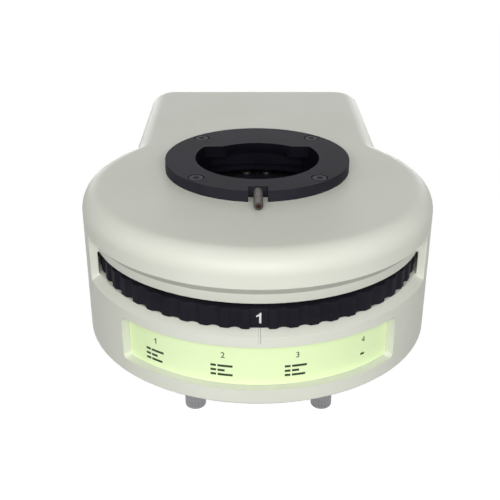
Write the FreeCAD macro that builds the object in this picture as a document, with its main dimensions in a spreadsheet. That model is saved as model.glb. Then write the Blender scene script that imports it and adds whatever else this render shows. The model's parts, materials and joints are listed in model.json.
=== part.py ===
import FreeCAD, Part
import math
import os
from types import SimpleNamespace

import Sketcher

# Fluorescence module that sits between a microscope's arm and its head.
# The frame: the origin is on the optical axis, level with the lower end of the dovetail.
# +Z is up, the round front with the finger wheel faces -Y, and all lengths are millimetres.

SIZE_TABLE = [
    # Housing
    ("foot_height", 8.0, "underside of the housing above the end of the dovetail"),
    ("housing_height", 66.0, "casting from underside to top"),
    ("housing_radius", 77.5, "round front, seen from above"),
    ("optics_to_housing", 15.0, "optical axis to the centre of the round front"),
    ("optics_to_turret", 20.5, "optical axis to the turret's axle"),
    ("block_half_width", 60.5, "half the width of the rear block"),
    ("block_reach", 134.5, "optical axis to the rear face"),
    ("neck_fillet", 9.0, "inner corner where the block meets the round front"),
    ("rear_corner", 14.0, "rear corners, seen from above"),
    ("top_fillet", 9.0, "soft upper edge"),
    ("bottom_fillet", 1.0, "lower edge"),
    ("side_wall", 3.5, "wall of the block"),
    ("front_wall", 6.3, "wall of the round front"),
    ("top_wall", 4.0, "roof"),
    ("rim_width", 2.5, "rim left around the base plate"),
    ("plate_thickness", 5.0, "base plate"),
    ("plate_gap", 0.15, "gap around the base plate and its cover"),
    # Finger scoop and wheel slot
    ("scoop_angle", 135.0, "finger scoop around the front"),
    ("scoop_depth", 4.2, "scoop into the wall"),
    ("scoop_top_drop", 14.1, "scoop's upper edge below the roof"),
    ("ramp_drop", 17.8, "end of the scoop's upper ramp below the roof"),
    ("ramp_depth", 3.2, "scoop's depth at the end of the upper ramp"),
    ("slot_top_drop", 22.35, "slot's upper edge below the roof"),
    ("slot_bottom_drop", 32.9, "slot's lower edge below the roof"),
    ("scoop_bottom_drop", 35.1, "scoop's lower edge below the roof"),
    # Label window
    ("label_angle", 93.0, "window around the front"),
    ("label_depth", 4.2, "window into the wall"),
    ("label_top_drop", 39.5, "window's upper edge below the roof"),
    ("label_rise", 6.8, "window's lower edge above the underside"),
    ("label_corner", 2.0, "window's rounded corners"),
    ("strip_thickness", 0.5, "label strip"),
    ("strip_gap", 0.2, "label strip to the window's edges"),
    ("strip_end_angle", 0.4, "label strip to the window's ends"),
    ("glue_gap", 0.05, "label strip to the window's floor"),
    # Head socket
    ("ring_radius", 42.0, "black ring on the roof"),
    ("ring_thickness", 5.0, "ring above the roof"),
    ("spigot_radius", 31.0, "ring's spigot in the roof"),
    ("spigot_depth", 8.0, "ring's spigot below the roof"),
    ("ledge_thickness", 2.0, "ledge at the foot of the socket"),
    ("socket_radius", 28.3, "socket's round side"),
    ("socket_back", 14.0, "rear edge of the socket's corner pockets"),
    ("lip_radius", 28.0, "fixed dovetail lip at the back"),
    ("lip_shift", 8.8, "lip's centre in front of the optical axis"),
    ("lip_height", 5.5, "lip below the ring's top"),
    ("lip_undercut", 1.7, "how far the lip's slope runs back"),
    ("lip_land", 2.0, "straight land above the lip's slope"),
    ("lip_angle", 60.0, "lip's slope, around"),
    ("pocket_back_radius", 100.0, "shallow curve of the socket's lower back wall"),
    ("pocket_back", 21.0, "socket's lower back wall behind the optical axis"),
    ("ledge_radius", 25.4, "hole in the ledge, round part"),
    ("ledge_back_radius", 45.0, "hole in the ledge, shallow back"),
    ("ledge_back", 18.0, "hole in the ledge behind the optical axis"),
    ("ring_screw_circle", 75.2, "pitch circle of the ring's screws"),
    ("ring_head_radius", 3.2, "head of a ring screw"),
    ("ring_head_gap", 0.45, "ring screw's head in its sinking"),
    ("ring_head_height", 2.4, "head of a ring screw"),
    ("ring_shank_radius", 1.5, "shank of a ring screw"),
    ("ring_shank_length", 5.0, "shank of a ring screw"),
    ("ring_slot_width", 8.3, "front slot of the ring"),
    ("ring_slot_inner", 36.4, "front slot's inner end from the optical axis"),
    ("clamp_radius", 2.0, "clamp screw"),
    ("clamp_lift", 2.25, "clamp screw's axis above the roof"),
    ("clamp_length", 22.2, "clamp screw"),
    ("clamp_inner", 29.3, "clamp screw's inner end from the optical axis"),
    # Turret
    ("wheel_inset", 1.6, "finger wheel's lobes behind the very front of the housing"),
    ("rim_thickness", 9.0, "finger wheel's rim, inwards from its lobes"),
    ("wheel_gap", 0.6, "finger wheel's underside above the slot's lower edge"),
    ("wheel_height", 8.4, "finger wheel's rim"),
    ("wheel_clearance", 1.8, "wheel to the housing, around"),
    ("lobe_gap_angle", 8.5, "two lobes beside a number, from one to the other"),
    ("valley_count", 12.0, "valleys between two numbers"),
    ("lobe_depth", 1.3, "valley between two lobes"),
    ("lobe_valley", 3.0, "radius of a valley"),
    ("lobe_round", 0.9, "rounding of a lobe's edges"),
    ("number_pad_width", 6.9, "flat seat of a number"),
    ("skirt_inset", 4.9, "wheel's skirt and turret plate inside the lobes"),
    ("turret_plate_step", 14.3, "turret plate's underside above the finger wheel's underside"),
    ("turret_plate_thickness", 3.0, "turret plate"),
    ("hub_radius", 10.0, "turret hub"),
    ("hub_flange_radius", 11.3, "flange of the hub on the turret plate"),
    ("hub_flange_thickness", 1.5, "flange of the hub"),
    ("hub_lift", 4.0, "hub's lower end above the axle's flange"),
    ("bearing_outer", 8.0, "ball bearing's outer radius"),
    ("bearing_width", 5.0, "ball bearing"),
    ("axle_radius", 4.0, "axle"),
    ("running_gap", 0.03, "radial clearance of a turning fit"),
    ("end_gap", 0.05, "axial clearance of a turning fit"),
    ("collar_radius", 5.5, "axle's collar under the lower bearing"),
    ("flange_radius", 13.0, "axle's flange on the base plate"),
    ("flange_thickness", 3.0, "axle's flange"),
    ("washer_radius", 6.0, "washer on top of the upper bearing"),
    ("washer_thickness", 1.0, "washer"),
    ("nut_radius", 5.5, "nut across its corners"),
    ("nut_height", 2.6, "nut"),
    ("nut_thread", 2.5, "axle's threaded end"),
    # Click stop
    ("detent_inset", 7.5, "click stops from the turret plate's edge"),
    ("detent_angle", 45.0, "click stop round the turret's axle, from +X"),
    ("ball_radius", 2.0, "click ball"),
    ("ball_sink", 0.9, "click ball's depth in its track"),
    ("dimple_depth", 0.3, "click dimples below the track"),
    ("sleeve_radius", 4.0, "plunger sleeve"),
    ("sleeve_drop", 9.4, "plunger sleeve below the ceiling"),
    ("spring_radius", 1.4, "middle of the click spring's wire"),
    ("wire_radius", 0.25, "click spring's wire"),
    ("spring_turns", 5.0, "click spring"),
    ("boss_radius", 7.0, "boss around the plunger sleeve"),
    ("boss_drop", 6.0, "boss below the ceiling"),
    # Stations
    ("station_count", 4.0, "stations on the turret"),
    ("cube_side", 19.6, "filter cube"),
    ("cube_height", 20.0, "filter cube"),
    ("cube_cavity", 14.0, "inside of the filter cube"),
    ("cube_wall", 3.0, "cube's floor and roof around the cavity"),
    ("filter_radius", 7.9, "filters and the collector lens"),
    ("filter_thickness", 2.5, "exciter and emission filter"),
    ("filter_gap", 0.1, "filter in its seat"),
    ("port_radius", 7.2, "cube's lower port"),
    ("mirror_length", 17.0, "dichroic mirror along its slope"),
    ("mirror_thickness", 1.0, "dichroic mirror"),
    ("snout_radius", 9.3, "tube in front of the lamp"),
    ("snout_share", 0.525, "tube's share of the room between cube and finger wheel"),
    ("lens_gap", 0.4, "collector lens to the lamp"),
    ("lens_edge", 2.0, "collector lens at its edge"),
    ("lens_crown", 2.6, "height of the collector lens's dome"),
    ("lamp_board_thickness", 1.6, "lamp board"),
    ("lamp_board_side", 19.0, "lamp board"),
    ("board_top_gap", 0.3, "lamp board to the turret plate"),
    ("lamp_radius", 2.6, "lamp's dome"),
    ("lamp_foot", 1.0, "straight foot of the lamp on its board"),
    ("sink_width", 20.0, "heat sink"),
    ("sink_base", 6.0, "heat sink's base"),
    ("sink_gap", 0.4, "heat sink's corners to the finger wheel"),
    ("fin_thickness", 1.4, "heat sink's fins"),
    ("fin_count", 5.0, "heat sink's fins"),
    ("module_screw_radius", 1.0, "shank of a small screw"),
    ("module_head_radius", 1.9, "head of a small screw"),
    ("module_head_height", 1.2, "head of a small screw"),
    ("module_screw_reach", 4.0, "small screw below its plate"),
    ("cube_screw_step", 8.2, "cube's screws from its middle, each way"),
    ("sink_screw_step", 4.9, "heat sink's screws from its middle"),
    ("wheel_screw_inset", 2.2, "wheel's screws from the turret plate's edge"),
    ("open_tube_radius", 9.5, "brightfield tube"),
    # Base
    ("light_hole", 14.0, "hole for the light in the dovetail"),
    ("plate_hole", 15.0, "hole for the light in the base plate"),
    ("dovetail_radius", 25.0, "dovetail's wide end"),
    ("dovetail_land", 3.0, "dovetail's straight end"),
    ("dovetail_neck", 22.5, "dovetail's neck"),
    ("dovetail_neck_length", 1.5, "dovetail's neck"),
    ("dovetail_flange", 32.0, "dovetail's flange in the base plate"),
    ("dovetail_flange_depth", 2.5, "dovetail's flange"),
    ("dovetail_screw_circle", 56.0, "pitch circle of the dovetail's screws"),
    ("countersunk_radius", 2.4, "head of a countersunk screw"),
    ("countersunk_height", 1.3, "head of a countersunk screw"),
    ("countersunk_shank", 1.25, "shank of a countersunk screw"),
    ("thread_gap", 0.05, "screw in its hole"),
    ("cover_half_width", 36.0, "access cover"),
    ("cover_back", 36.0, "access cover's rear edge in front of the optical axis"),
    ("cover_step", 4.0, "rebate that carries the access cover"),
    ("cover_step_height", 2.5, "rebate that carries the access cover"),
    ("post_radius", 4.0, "posts for the base plate's screws"),
    ("post_front_angle", 60.0, "front pair of posts from the front"),
    ("post_side_angle", 110.0, "side pair of posts from the front"),
    ("post_inset", 6.5, "round front's posts from its outside"),
    ("rear_post_inset", 8.5, "block's posts from its sides"),
    ("front_post_height", 16.0, "posts beside the wheel"),
    ("thumb_across", 25.8, "thumb screws from the middle"),
    ("thumb_inset", 11.7, "thumb screws behind the very front of the housing"),
    ("thumb_head_radius", 4.25, "thumb screw's head"),
    ("thumb_round", 1.0, "thumb screw's rounded end"),
    ("knurl_depth", 0.3, "grooves of the knurled heads"),
    ("thumb_knurls", 20.0, "grooves of a thumb screw"),
    ("thumb_shank_radius", 2.0, "thumb screw's shank"),
    ("thumb_shank_length", 15.0, "thumb screw's shank"),
    ("thumb_head_gap", 0.05, "thumb screw's head to the cover"),
    ("thumb_post_radius", 5.0, "posts for the thumb screws"),
    # Lamp supply at the back
    ("panel_height", 34.0, "rear controls above the housing's underside"),
    ("knob_across", 32.0, "dimmer from the middle"),
    ("knob_radius", 8.5, "dimmer knob"),
    ("knob_length", 13.0, "dimmer knob"),
    ("knob_knurls", 24.0, "grooves of the dimmer knob"),
    ("knob_gap", 1.2, "dimmer knob to the rear face"),
    ("dimmer_shaft_radius", 3.0, "dimmer's shaft"),
    ("dimmer_bush_radius", 3.6, "dimmer's bush in the rear wall"),
    ("dimmer_body_radius", 8.0, "dimmer's body"),
    ("dimmer_body_length", 9.0, "dimmer's body"),
    ("socket_across", 34.0, "power socket from the middle"),
    ("socket_barrel", 4.0, "power socket in the rear wall"),
    ("socket_bore", 2.8, "power socket's bore"),
    ("socket_pin", 1.0, "power socket's pin"),
    ("socket_flange", 5.6, "power socket's flange"),
    ("socket_depth", 12.0, "power socket behind the rear face"),
    ("bezel_thickness", 1.5, "flanges on the rear face"),
    ("rocker_width", 12.0, "switch's cut-out"),
    ("rocker_height", 19.0, "switch's cut-out"),
    ("rocker_rim", 1.5, "switch's bezel over the cut-out"),
    ("rocker_depth", 13.0, "switch behind the rear face"),
    ("rocker_wall", 1.2, "switch's frame"),
    ("rocker_gap", 0.3, "button in the switch's frame"),
    ("rocker_angle", 9.0, "button's tilt each way"),
    ("board_length", 80.0, "driver board, across"),
    ("board_width", 44.0, "driver board, front to back"),
    ("board_thickness", 1.6, "driver board"),
    ("board_ahead", 64.0, "driver board's front edge behind the optical axis"),
    ("standoff_height", 6.0, "driver board above the base plate"),
    ("standoff_radius", 2.8, "standoffs"),
    ("contact_gap", 0.3, "supply contacts to the lamp board"),
    ("contact_radius", 0.8, "supply contact pins"),
    ("contact_step", 5.0, "supply contact pins from the middle"),
    ("contact_tip", 4.7, "supply contact pins above their block"),
]


class Size:
    """A number together with the sheet formula that gives it."""

    def __init__(self, value, text):
        self.value = value
        self.text = text

    def __add__(self, other):
        other = as_size(other)
        return Size(self.value + other.value, f"({self.text} + {other.text})")

    def __sub__(self, other):
        other = as_size(other)
        return Size(self.value - other.value, f"({self.text} - {other.text})")

    def __mul__(self, other):
        other = as_size(other)
        return Size(self.value * other.value, f"({self.text} * {other.text})")

    def __truediv__(self, other):
        other = as_size(other)
        return Size(self.value / other.value, f"({self.text} / {other.text})")

    def __neg__(self):
        return Size(-self.value, f"(-1 * {self.text})")

    def __rsub__(self, other):
        return as_size(other) - self

    def __rtruediv__(self, other):
        return as_size(other) / self

    def __radd__(self, other):
        return as_size(other) + self

    def __rmul__(self, other):
        return as_size(other) * self


def as_size(number):
    return number if isinstance(number, Size) else Size(float(number), str(float(number)))


def cosine(angle):
    angle = as_size(angle)
    return Size(math.cos(math.radians(angle.value)), f"cos({angle.text})")


def sine(angle):
    angle = as_size(angle)
    return Size(math.sin(math.radians(angle.value)), f"sin({angle.text})")


def root(size):
    return Size(math.sqrt(size.value), f"sqrt({size.text})")


def make_sheet(document, rows):
    """Writes every driving dimension to the sheet and returns them by name."""
    sheet = document.addObject("Spreadsheet::Sheet", "Sizes")
    named = {}
    for row, (alias, number, note) in enumerate(rows, start=1):
        sheet.set(f"A{row}", alias)
        sheet.set(f"B{row}", str(number))
        sheet.set(f"C{row}", note)
        sheet.setAlias(f"B{row}", alias)
        named[alias] = Size(number, f"Sizes.{alias}")
    document.recompute()
    return SimpleNamespace(**named)


doc = FreeCAD.newDocument("FluorescenceModule")
s = make_sheet(doc, SIZE_TABLE)
parts = []
ZERO = as_size(0)

# Sizes that follow from the sheet's own: the wheel from the housing, the stations from the wheel
s.front_reach = s.housing_radius + s.optics_to_housing
s.wheel_radius = s.front_reach - s.optics_to_turret - s.wheel_inset
s.wheel_inner = s.wheel_radius - s.rim_thickness
s.skirt_radius = s.wheel_radius - s.skirt_inset
s.wheel_screw_circle = s.skirt_radius - s.wheel_screw_inset
s.detent_circle = s.skirt_radius - s.detent_inset
s.thumb_ahead = s.front_reach - s.thumb_inset
s.station_circle = s.optics_to_turret
sink_corner = s.wheel_inner - s.sink_gap
station_reach = root(sink_corner * sink_corner - s.sink_width * s.sink_width / 4)
station_room = station_reach - s.station_circle - s.cube_side / 2
s.snout_length = station_room * s.snout_share
s.fin_length = station_room - s.snout_length - s.lamp_board_thickness - s.sink_base
s.contact_circle = station_reach - s.fin_length - s.sink_base - s.lamp_board_thickness / 2
lamp_height = s.lamp_foot + s.lamp_radius
s.lens_inset = s.snout_length - lamp_height - s.lens_gap - s.lens_edge - s.lens_crown

# Levels above the origin
underside = s.foot_height
roof = underside + s.housing_height
ring_top = roof + s.ring_thickness
ceiling = roof - s.top_wall
plate_top = underside + s.plate_thickness
label_low = underside + s.label_rise
slot_low = roof - s.slot_bottom_drop
slot_high = roof - s.slot_top_drop
wheel_low = slot_low + s.wheel_gap
wheel_top = wheel_low + s.wheel_height
turret_plate_low = wheel_low + s.turret_plate_step
turret_plate_top = turret_plate_low + s.turret_plate_thickness
cube_low = turret_plate_low - s.cube_height
optics_level = cube_low + s.cube_height / 2
hub_low = plate_top + s.flange_thickness + s.hub_lift
socket_floor = roof - s.spigot_depth + s.ledge_thickness
cover_depth = s.cover_step_height


def bind(item, **sizes):
    """Ties properties to the sheet; a double underscore stands for a dot."""
    for path, size in sizes.items():
        item.setExpression(path.replace("__", "."), as_size(size).text)


def place(item, x=0, y=0, z=0):
    bind(item, Placement__Base__x=x, Placement__Base__y=y, Placement__Base__z=z)


def keep(item, name):
    """Names a finished sub-part; the name is also its file's name."""
    item.Label = name
    parts.append(item)
    return item


# Primitives and booleans

def cylinder(name, radius, height, x=0, y=0, z=0, facing=(0, 0, 1)):
    item = doc.addObject("Part::Cylinder", name)
    item.Placement.Rotation = FreeCAD.Rotation(FreeCAD.Vector(0, 0, 1), FreeCAD.Vector(*facing))
    bind(item, Radius=radius, Height=height)
    place(item, x, y, z)
    return item


def cone(name, radius, end_radius, height, x=0, y=0, z=0, facing=(0, 0, 1)):
    item = doc.addObject("Part::Cone", name)
    item.Placement.Rotation = FreeCAD.Rotation(FreeCAD.Vector(0, 0, 1), FreeCAD.Vector(*facing))
    bind(item, Radius1=radius, Radius2=end_radius, Height=height)
    place(item, x, y, z)
    return item


def box(name, length, width, height, x=0, y=0, z=0, centred="xy"):
    """Box from x, y, z; an axis named in centred has its middle there."""
    item = doc.addObject("Part::Box", name)
    bind(item, Length=length, Width=width, Height=height)
    x = as_size(x) - as_size(length) / 2 if "x" in centred else x
    y = as_size(y) - as_size(width) / 2 if "y" in centred else y
    z = as_size(z) - as_size(height) / 2 if "z" in centred else z
    place(item, x, y, z)
    return item


def ball(name, radius, x=0, y=0, z=0):
    item = doc.addObject("Part::Sphere", name)
    bind(item, Radius=radius)
    place(item, x, y, z)
    return item


def fuse(name, *items):
    item = doc.addObject("Part::MultiFuse", name)
    item.Shapes = list(items)
    item.Refine = True
    return item


def cut(name, base, *tools):
    item = doc.addObject("Part::Cut", name)
    item.Base = base
    item.Tool = tools[0] if len(tools) == 1 else fuse(name + "_tools", *tools)
    return item


def common(name, *items):
    item = doc.addObject("Part::MultiCommon", name)
    item.Shapes = list(items)
    return item


def group(name, items):
    """Identical pieces in one node, each a solid of its own."""
    item = doc.addObject("Part::Compound", name)
    item.Links = list(items)
    return keep(item, name)


def turned(item, x, y, z, angle):
    """Sets a finished piece at a point, turned about the vertical."""
    item.Placement.Rotation = FreeCAD.Rotation(FreeCAD.Vector(0, 0, 1), 1)
    place(item, x, y, z)
    bind(item, Placement__Rotation__Angle=angle)
    return item


def on_turret(item, angle=0):
    """Moves a piece made about the Z axis to the turret's axle and turns it to its station."""
    return turned(item, 0, -s.optics_to_turret, 0, angle)


# Bodies and sketches

def new_body(name):
    body = doc.addObject("PartDesign::Body", name + "_body")
    return keep(body, name)


def sketch(body, name, role="XY_Plane", lift=0, slide=0):
    """Sketch on one of the body's own planes, lifted off it and slid along its first axis."""
    plane = next(item for item in body.Origin.OriginFeatures if item.Role == role)
    item = body.newObject("Sketcher::SketchObject", f"{body.Label}_{name}")
    item.AttachmentSupport = (plane, [""])
    item.MapMode = "FlatFace"
    bind(item, AttachmentOffset__Base__z=lift, AttachmentOffset__Base__x=slide)
    return item


def name_constraint(item, constraint, label, text):
    index = item.addConstraint(constraint)
    item.renameConstraint(index, label)
    item.setExpression("Constraints." + label, text)


def hold(item, edge, end, x, y):
    """Ties one point of an edge to the sketch's origin."""
    for kind, size in (("DistanceX", as_size(x)), ("DistanceY", as_size(y))):
        label = f"{kind}_{edge}_{end}"
        if size.value >= 0:
            name_constraint(item, Sketcher.Constraint(kind, -1, 1, edge, end, size.value), label, size.text)
        else:
            back = -size
            name_constraint(item, Sketcher.Constraint(kind, edge, end, -1, 1, back.value), label, back.text)


def vector(x, y):
    return FreeCAD.Vector(as_size(x).value, as_size(y).value, 0)


def circle(item, radius, x=0, y=0):
    radius = as_size(radius)
    edge = item.addGeometry(Part.Circle(vector(x, y), FreeCAD.Vector(0, 0, 1), radius.value), False)
    hold(item, edge, 3, x, y)
    name_constraint(item, Sketcher.Constraint("Radius", edge, radius.value), f"radius_{edge}", radius.text)
    return edge


def polygon(item, corners):
    """Closed outline with every corner tied to the sketch's origin."""
    count = len(corners)
    ends = [vector(x, y) for x, y in corners]
    first = item.addGeometry([Part.LineSegment(ends[k], ends[(k + 1) % count]) for k in range(count)],
                             False)[0]
    for k in range(count):
        item.addConstraint(Sketcher.Constraint("Coincident", first + k, 2, first + (k + 1) % count, 1))
    for k, (x, y) in enumerate(corners):
        hold(item, first + k, 1, x, y)


def rectangle(item, x_low, y_low, x_high, y_high):
    polygon(item, [(x_low, y_low), (x_high, y_low), (x_high, y_high), (x_low, y_high)])


def arc(item, radius, x, y, start, end):
    """Arc about x, y between two points that lie on it, counter-clockwise."""
    centre = vector(x, y)
    full = Part.Circle(centre, FreeCAD.Vector(0, 0, 1), radius.value)
    angles = [math.atan2(tip.y - centre.y, tip.x - centre.x) for tip in (start, end)]
    return item.addGeometry(Part.ArcOfCircle(full, angles[0], angles[1]), False)


def lens_outline(item, radius, back_radius, back):
    """Round hole whose back is a flatter arc, both tied to the optical axis."""
    centre = back - back_radius
    reach = (radius * radius - back_radius * back_radius + centre * centre) / (2 * centre)
    half = root(radius * radius - reach * reach)
    right = vector(half, reach)
    left = vector(-half, reach)
    front = arc(item, radius, 0, 0, left, right)
    rear = arc(item, back_radius, 0, centre, right, left)
    item.addConstraint(Sketcher.Constraint("Coincident", front, 2, rear, 1))
    item.addConstraint(Sketcher.Constraint("Coincident", rear, 2, front, 1))
    hold(item, front, 3, 0, 0)
    hold(item, rear, 3, 0, centre)
    name_constraint(item, Sketcher.Constraint("Radius", front, radius.value), "round_radius", radius.text)
    name_constraint(item, Sketcher.Constraint("Radius", rear, back_radius.value), "back_radius",
                    back_radius.text)


def feature(body, kind, name, profile, **sizes):
    item = body.newObject("PartDesign::" + kind, f"{body.Label}_{name}")
    item.Profile = profile
    bind(item, **sizes)
    return item


def finish_feature(body, before=None, grows=False):
    """Recomputes and makes sure that a cut took something away."""
    doc.recompute()
    if before is None:
        return
    after = body.Shape.Volume
    if grows and after <= before or not grows and after >= before:
        raise RuntimeError(f"{body.Label}: {body.Tip.Name} changed nothing")


def pad(body, name, profile, length):
    item = feature(body, "Pad", name, profile, Length=length)
    finish_feature(body)
    return item


def pocket(body, name, profile, length, upward=False):
    """Cuts along the sketch's normal backwards, or forwards with upward."""
    before = body.Shape.Volume
    item = feature(body, "Pocket", name, profile, Length=length)
    item.Reversed = upward
    finish_feature(body, before)
    return item


def revolve(body, name, profile, angle=360, kind="Revolution"):
    """Turns a profile about the sketch's vertical axis, half to each side of its plane."""
    before = body.Shape.Volume if kind == "Groove" else None
    item = feature(body, kind, name, profile, Angle=angle)
    item.ReferenceAxis = (profile, ["V_Axis"])
    item.Midplane = True
    finish_feature(body, before)
    return item


def around(body, name, features, count, axis_sketch):
    """Repeats features in a full circle about the sketch's normal."""
    item = body.newObject("PartDesign::PolarPattern", f"{body.Label}_{name}")
    item.Originals = features
    item.Axis = (axis_sketch, ["N_Axis"])
    item.Angle = 360
    bind(item, Occurrences=count)
    body.Tip = item
    finish_feature(body)
    return item


def edges_where(shape, test):
    return [f"Edge{k}" for k, edge in enumerate(shape.Edges, start=1) if test(edge)]


def middle(edge):
    return edge.valueAt((edge.FirstParameter + edge.LastParameter) / 2)


def is_upright(edge):
    ends = [vertex.Point for vertex in edge.Vertexes]
    return len(ends) == 2 and ends[0].sub(ends[1]).cross(FreeCAD.Vector(0, 0, 1)).Length < 1e-4


def round_edges(body, name, radius, test, kind="Fillet"):
    names = edges_where(body.Shape, test)
    if not names:
        raise RuntimeError(f"{body.Label}: {name} found no edge")
    item = body.newObject("PartDesign::" + kind, f"{body.Label}_{name}")
    item.Base = (body.Tip, names) if body.Tip != item else (item.BaseFeature, names)
    bind(item, **{"Radius" if kind == "Fillet" else "Size": radius})
    finish_feature(body)
    return item


# Plan outline that the casting, its hollow and its base plate share

def block_outline(item, inset):
    """Rear block seen from above, with two rounded rear corners."""
    half = s.block_half_width - inset
    reach = s.block_reach - inset
    corner = s.rear_corner - inset
    turn = vector(half - corner, reach - corner)
    back = vector(-half + corner, reach - corner)
    right = item.addGeometry(Part.LineSegment(vector(half, 0), vector(half, reach - corner)), False)
    arc(item, corner, half - corner, reach - corner, vector(half, turn.y), vector(turn.x, reach))
    item.addGeometry(Part.LineSegment(vector(half - corner, reach), vector(-half + corner, reach)), False)
    arc(item, corner, -half + corner, reach - corner, vector(back.x, reach), vector(-half, back.y))
    item.addGeometry(Part.LineSegment(vector(-half, reach - corner), vector(-half, 0)), False)
    item.addGeometry(Part.LineSegment(vector(-half, 0), vector(half, 0)), False)
    for k in range(6):
        item.addConstraint(Sketcher.Constraint("Coincident", right + k, 2, right + (k + 1) % 6, 1))
    for k, (x, y) in enumerate([(half, reach - corner), (half - corner, reach), (-half + corner, reach),
                                (-half, reach - corner), (-half, 0), (half, 0)]):
        hold(item, right + k, 2, x, y)
    for k in (1, 3):
        name_constraint(item, Sketcher.Constraint("Radius", right + k, corner.value), f"corner_{k}",
                        corner.text)


def plan_sketches(body, name, round_inset, block_inset, level):
    front = sketch(body, name + "_round", lift=level)
    circle(front, s.housing_radius - round_inset, 0, -s.optics_to_housing)
    rear = sketch(body, name + "_block", lift=level)
    block_outline(rear, block_inset)
    return front, rear


def band_sketch(body, name, corners):
    """Profile of a cut around the round front; each corner is depth into the wall and level."""
    item = sketch(body, name, "YZ_Plane", slide=-s.optics_to_housing)
    polygon(item, [(-(s.housing_radius - depth), level) for depth, level in corners])
    return item


post_circle = s.housing_radius - s.post_inset
front_posts = [
    (side * post_circle * sine(angle), -s.optics_to_housing - post_circle * cosine(angle))
    for angle in (s.post_front_angle, s.post_side_angle) for side in (1, -1)
]
rear_posts = [
    (side * (s.block_half_width - s.rear_post_inset), level)
    for level in (s.block_reach * 0.45, s.block_reach - s.rear_post_inset * 1.4) for side in (1, -1)
]
detent_x = s.detent_circle * cosine(s.detent_angle)
detent_y = s.detent_circle * sine(s.detent_angle) - s.optics_to_turret
panel_level = underside + s.panel_height
inner_face = s.block_reach - s.side_wall


def make_housing():
    body = new_body("housing")
    front, rear = plan_sketches(body, "outer", ZERO, ZERO, underside)
    pad(body, "round_front", front, s.housing_height)
    pad(body, "rear_block", rear, s.housing_height)
    neck = s.block_half_width.value
    round_edges(body, "necks", s.neck_fillet,
                lambda edge: is_upright(edge) and abs(abs(middle(edge).x) - neck) < 0.01
                and 0 < middle(edge).y < s.housing_radius.value)
    round_edges(body, "top_edge", s.top_fillet, lambda edge: abs(middle(edge).z - roof.value) < 0.01
                and abs(edge.BoundBox.ZLength) < 0.01)
    round_edges(body, "bottom_edge", s.bottom_fillet,
                lambda edge: abs(middle(edge).z - underside.value) < 0.01
                and abs(edge.BoundBox.ZLength) < 0.01)
    hollow_front, hollow_rear = plan_sketches(body, "hollow", s.front_wall, s.side_wall, underside)
    hollow = s.housing_height - s.top_wall
    pocket(body, "front_hollow", hollow_front, hollow, upward=True)
    pocket(body, "rear_hollow", hollow_rear, hollow, upward=True)
    rim_front, rim_rear = plan_sketches(body, "rim", s.rim_width, s.rim_width, underside)
    pocket(body, "rim_round", rim_front, s.plate_thickness, upward=True)
    pocket(body, "rim_block", rim_rear, s.plate_thickness, upward=True)
    add_posts(body)
    scoop = band_sketch(body, "scoop_profile", [
        (ZERO, roof - s.scoop_top_drop), (s.ramp_depth, roof - s.ramp_drop), (s.scoop_depth, slot_high),
        (s.scoop_depth, slot_low), (ZERO, roof - s.scoop_bottom_drop),
        (as_size(-2), roof - s.scoop_bottom_drop),
        (as_size(-2), roof - s.scoop_top_drop)])
    revolve(body, "scoop", scoop, s.scoop_angle, "Groove")
    window = band_sketch(body, "window_profile", [
        (s.label_depth, label_low), (s.label_depth, roof - s.label_top_drop),
        (as_size(-2), roof - s.label_top_drop), (as_size(-2), label_low)])
    revolve(body, "window", window, s.label_angle, "Groove")
    round_edges(body, "window_corners", s.label_corner, is_window_corner)
    slot = sketch(body, "slot_profile", lift=slot_low)
    circle(slot, s.wheel_radius + s.wheel_clearance, 0, -s.optics_to_turret)
    pocket(body, "wheel_slot", slot, slot_high - slot_low, upward=True)
    seat = sketch(body, "ring_seat_profile", lift=roof)
    circle(seat, s.spigot_radius + s.thread_gap)
    pocket(body, "ring_seat", seat, s.top_wall + 1)
    first_hole = sketch(body, "ring_hole_profile", lift=roof)
    offset = s.ring_screw_circle / 2 * cosine(45)
    circle(first_hole, s.ring_shank_radius + s.thread_gap, offset, offset)
    hole = pocket(body, "ring_hole", first_hole, s.top_wall + 1)
    around(body, "ring_holes", [hole], as_size(4), first_hole)
    add_rear_openings(body)
    return body


def is_window_corner(edge):
    """Short edge at one of the window's four corners, running into the wall."""
    spot = middle(edge)
    levels = (label_low, roof - s.label_top_drop)
    run = math.hypot(edge.BoundBox.XLength, edge.BoundBox.YLength)
    angle = math.degrees(math.atan2(abs(spot.x), -(spot.y + s.optics_to_housing.value)))
    return (edge.BoundBox.ZLength < 0.01 and run < s.label_depth.value * 1.2
            and abs(angle - s.label_angle.value / 2) < 1
            and any(abs(spot.z - level.value) < 0.01 for level in levels))


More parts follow.
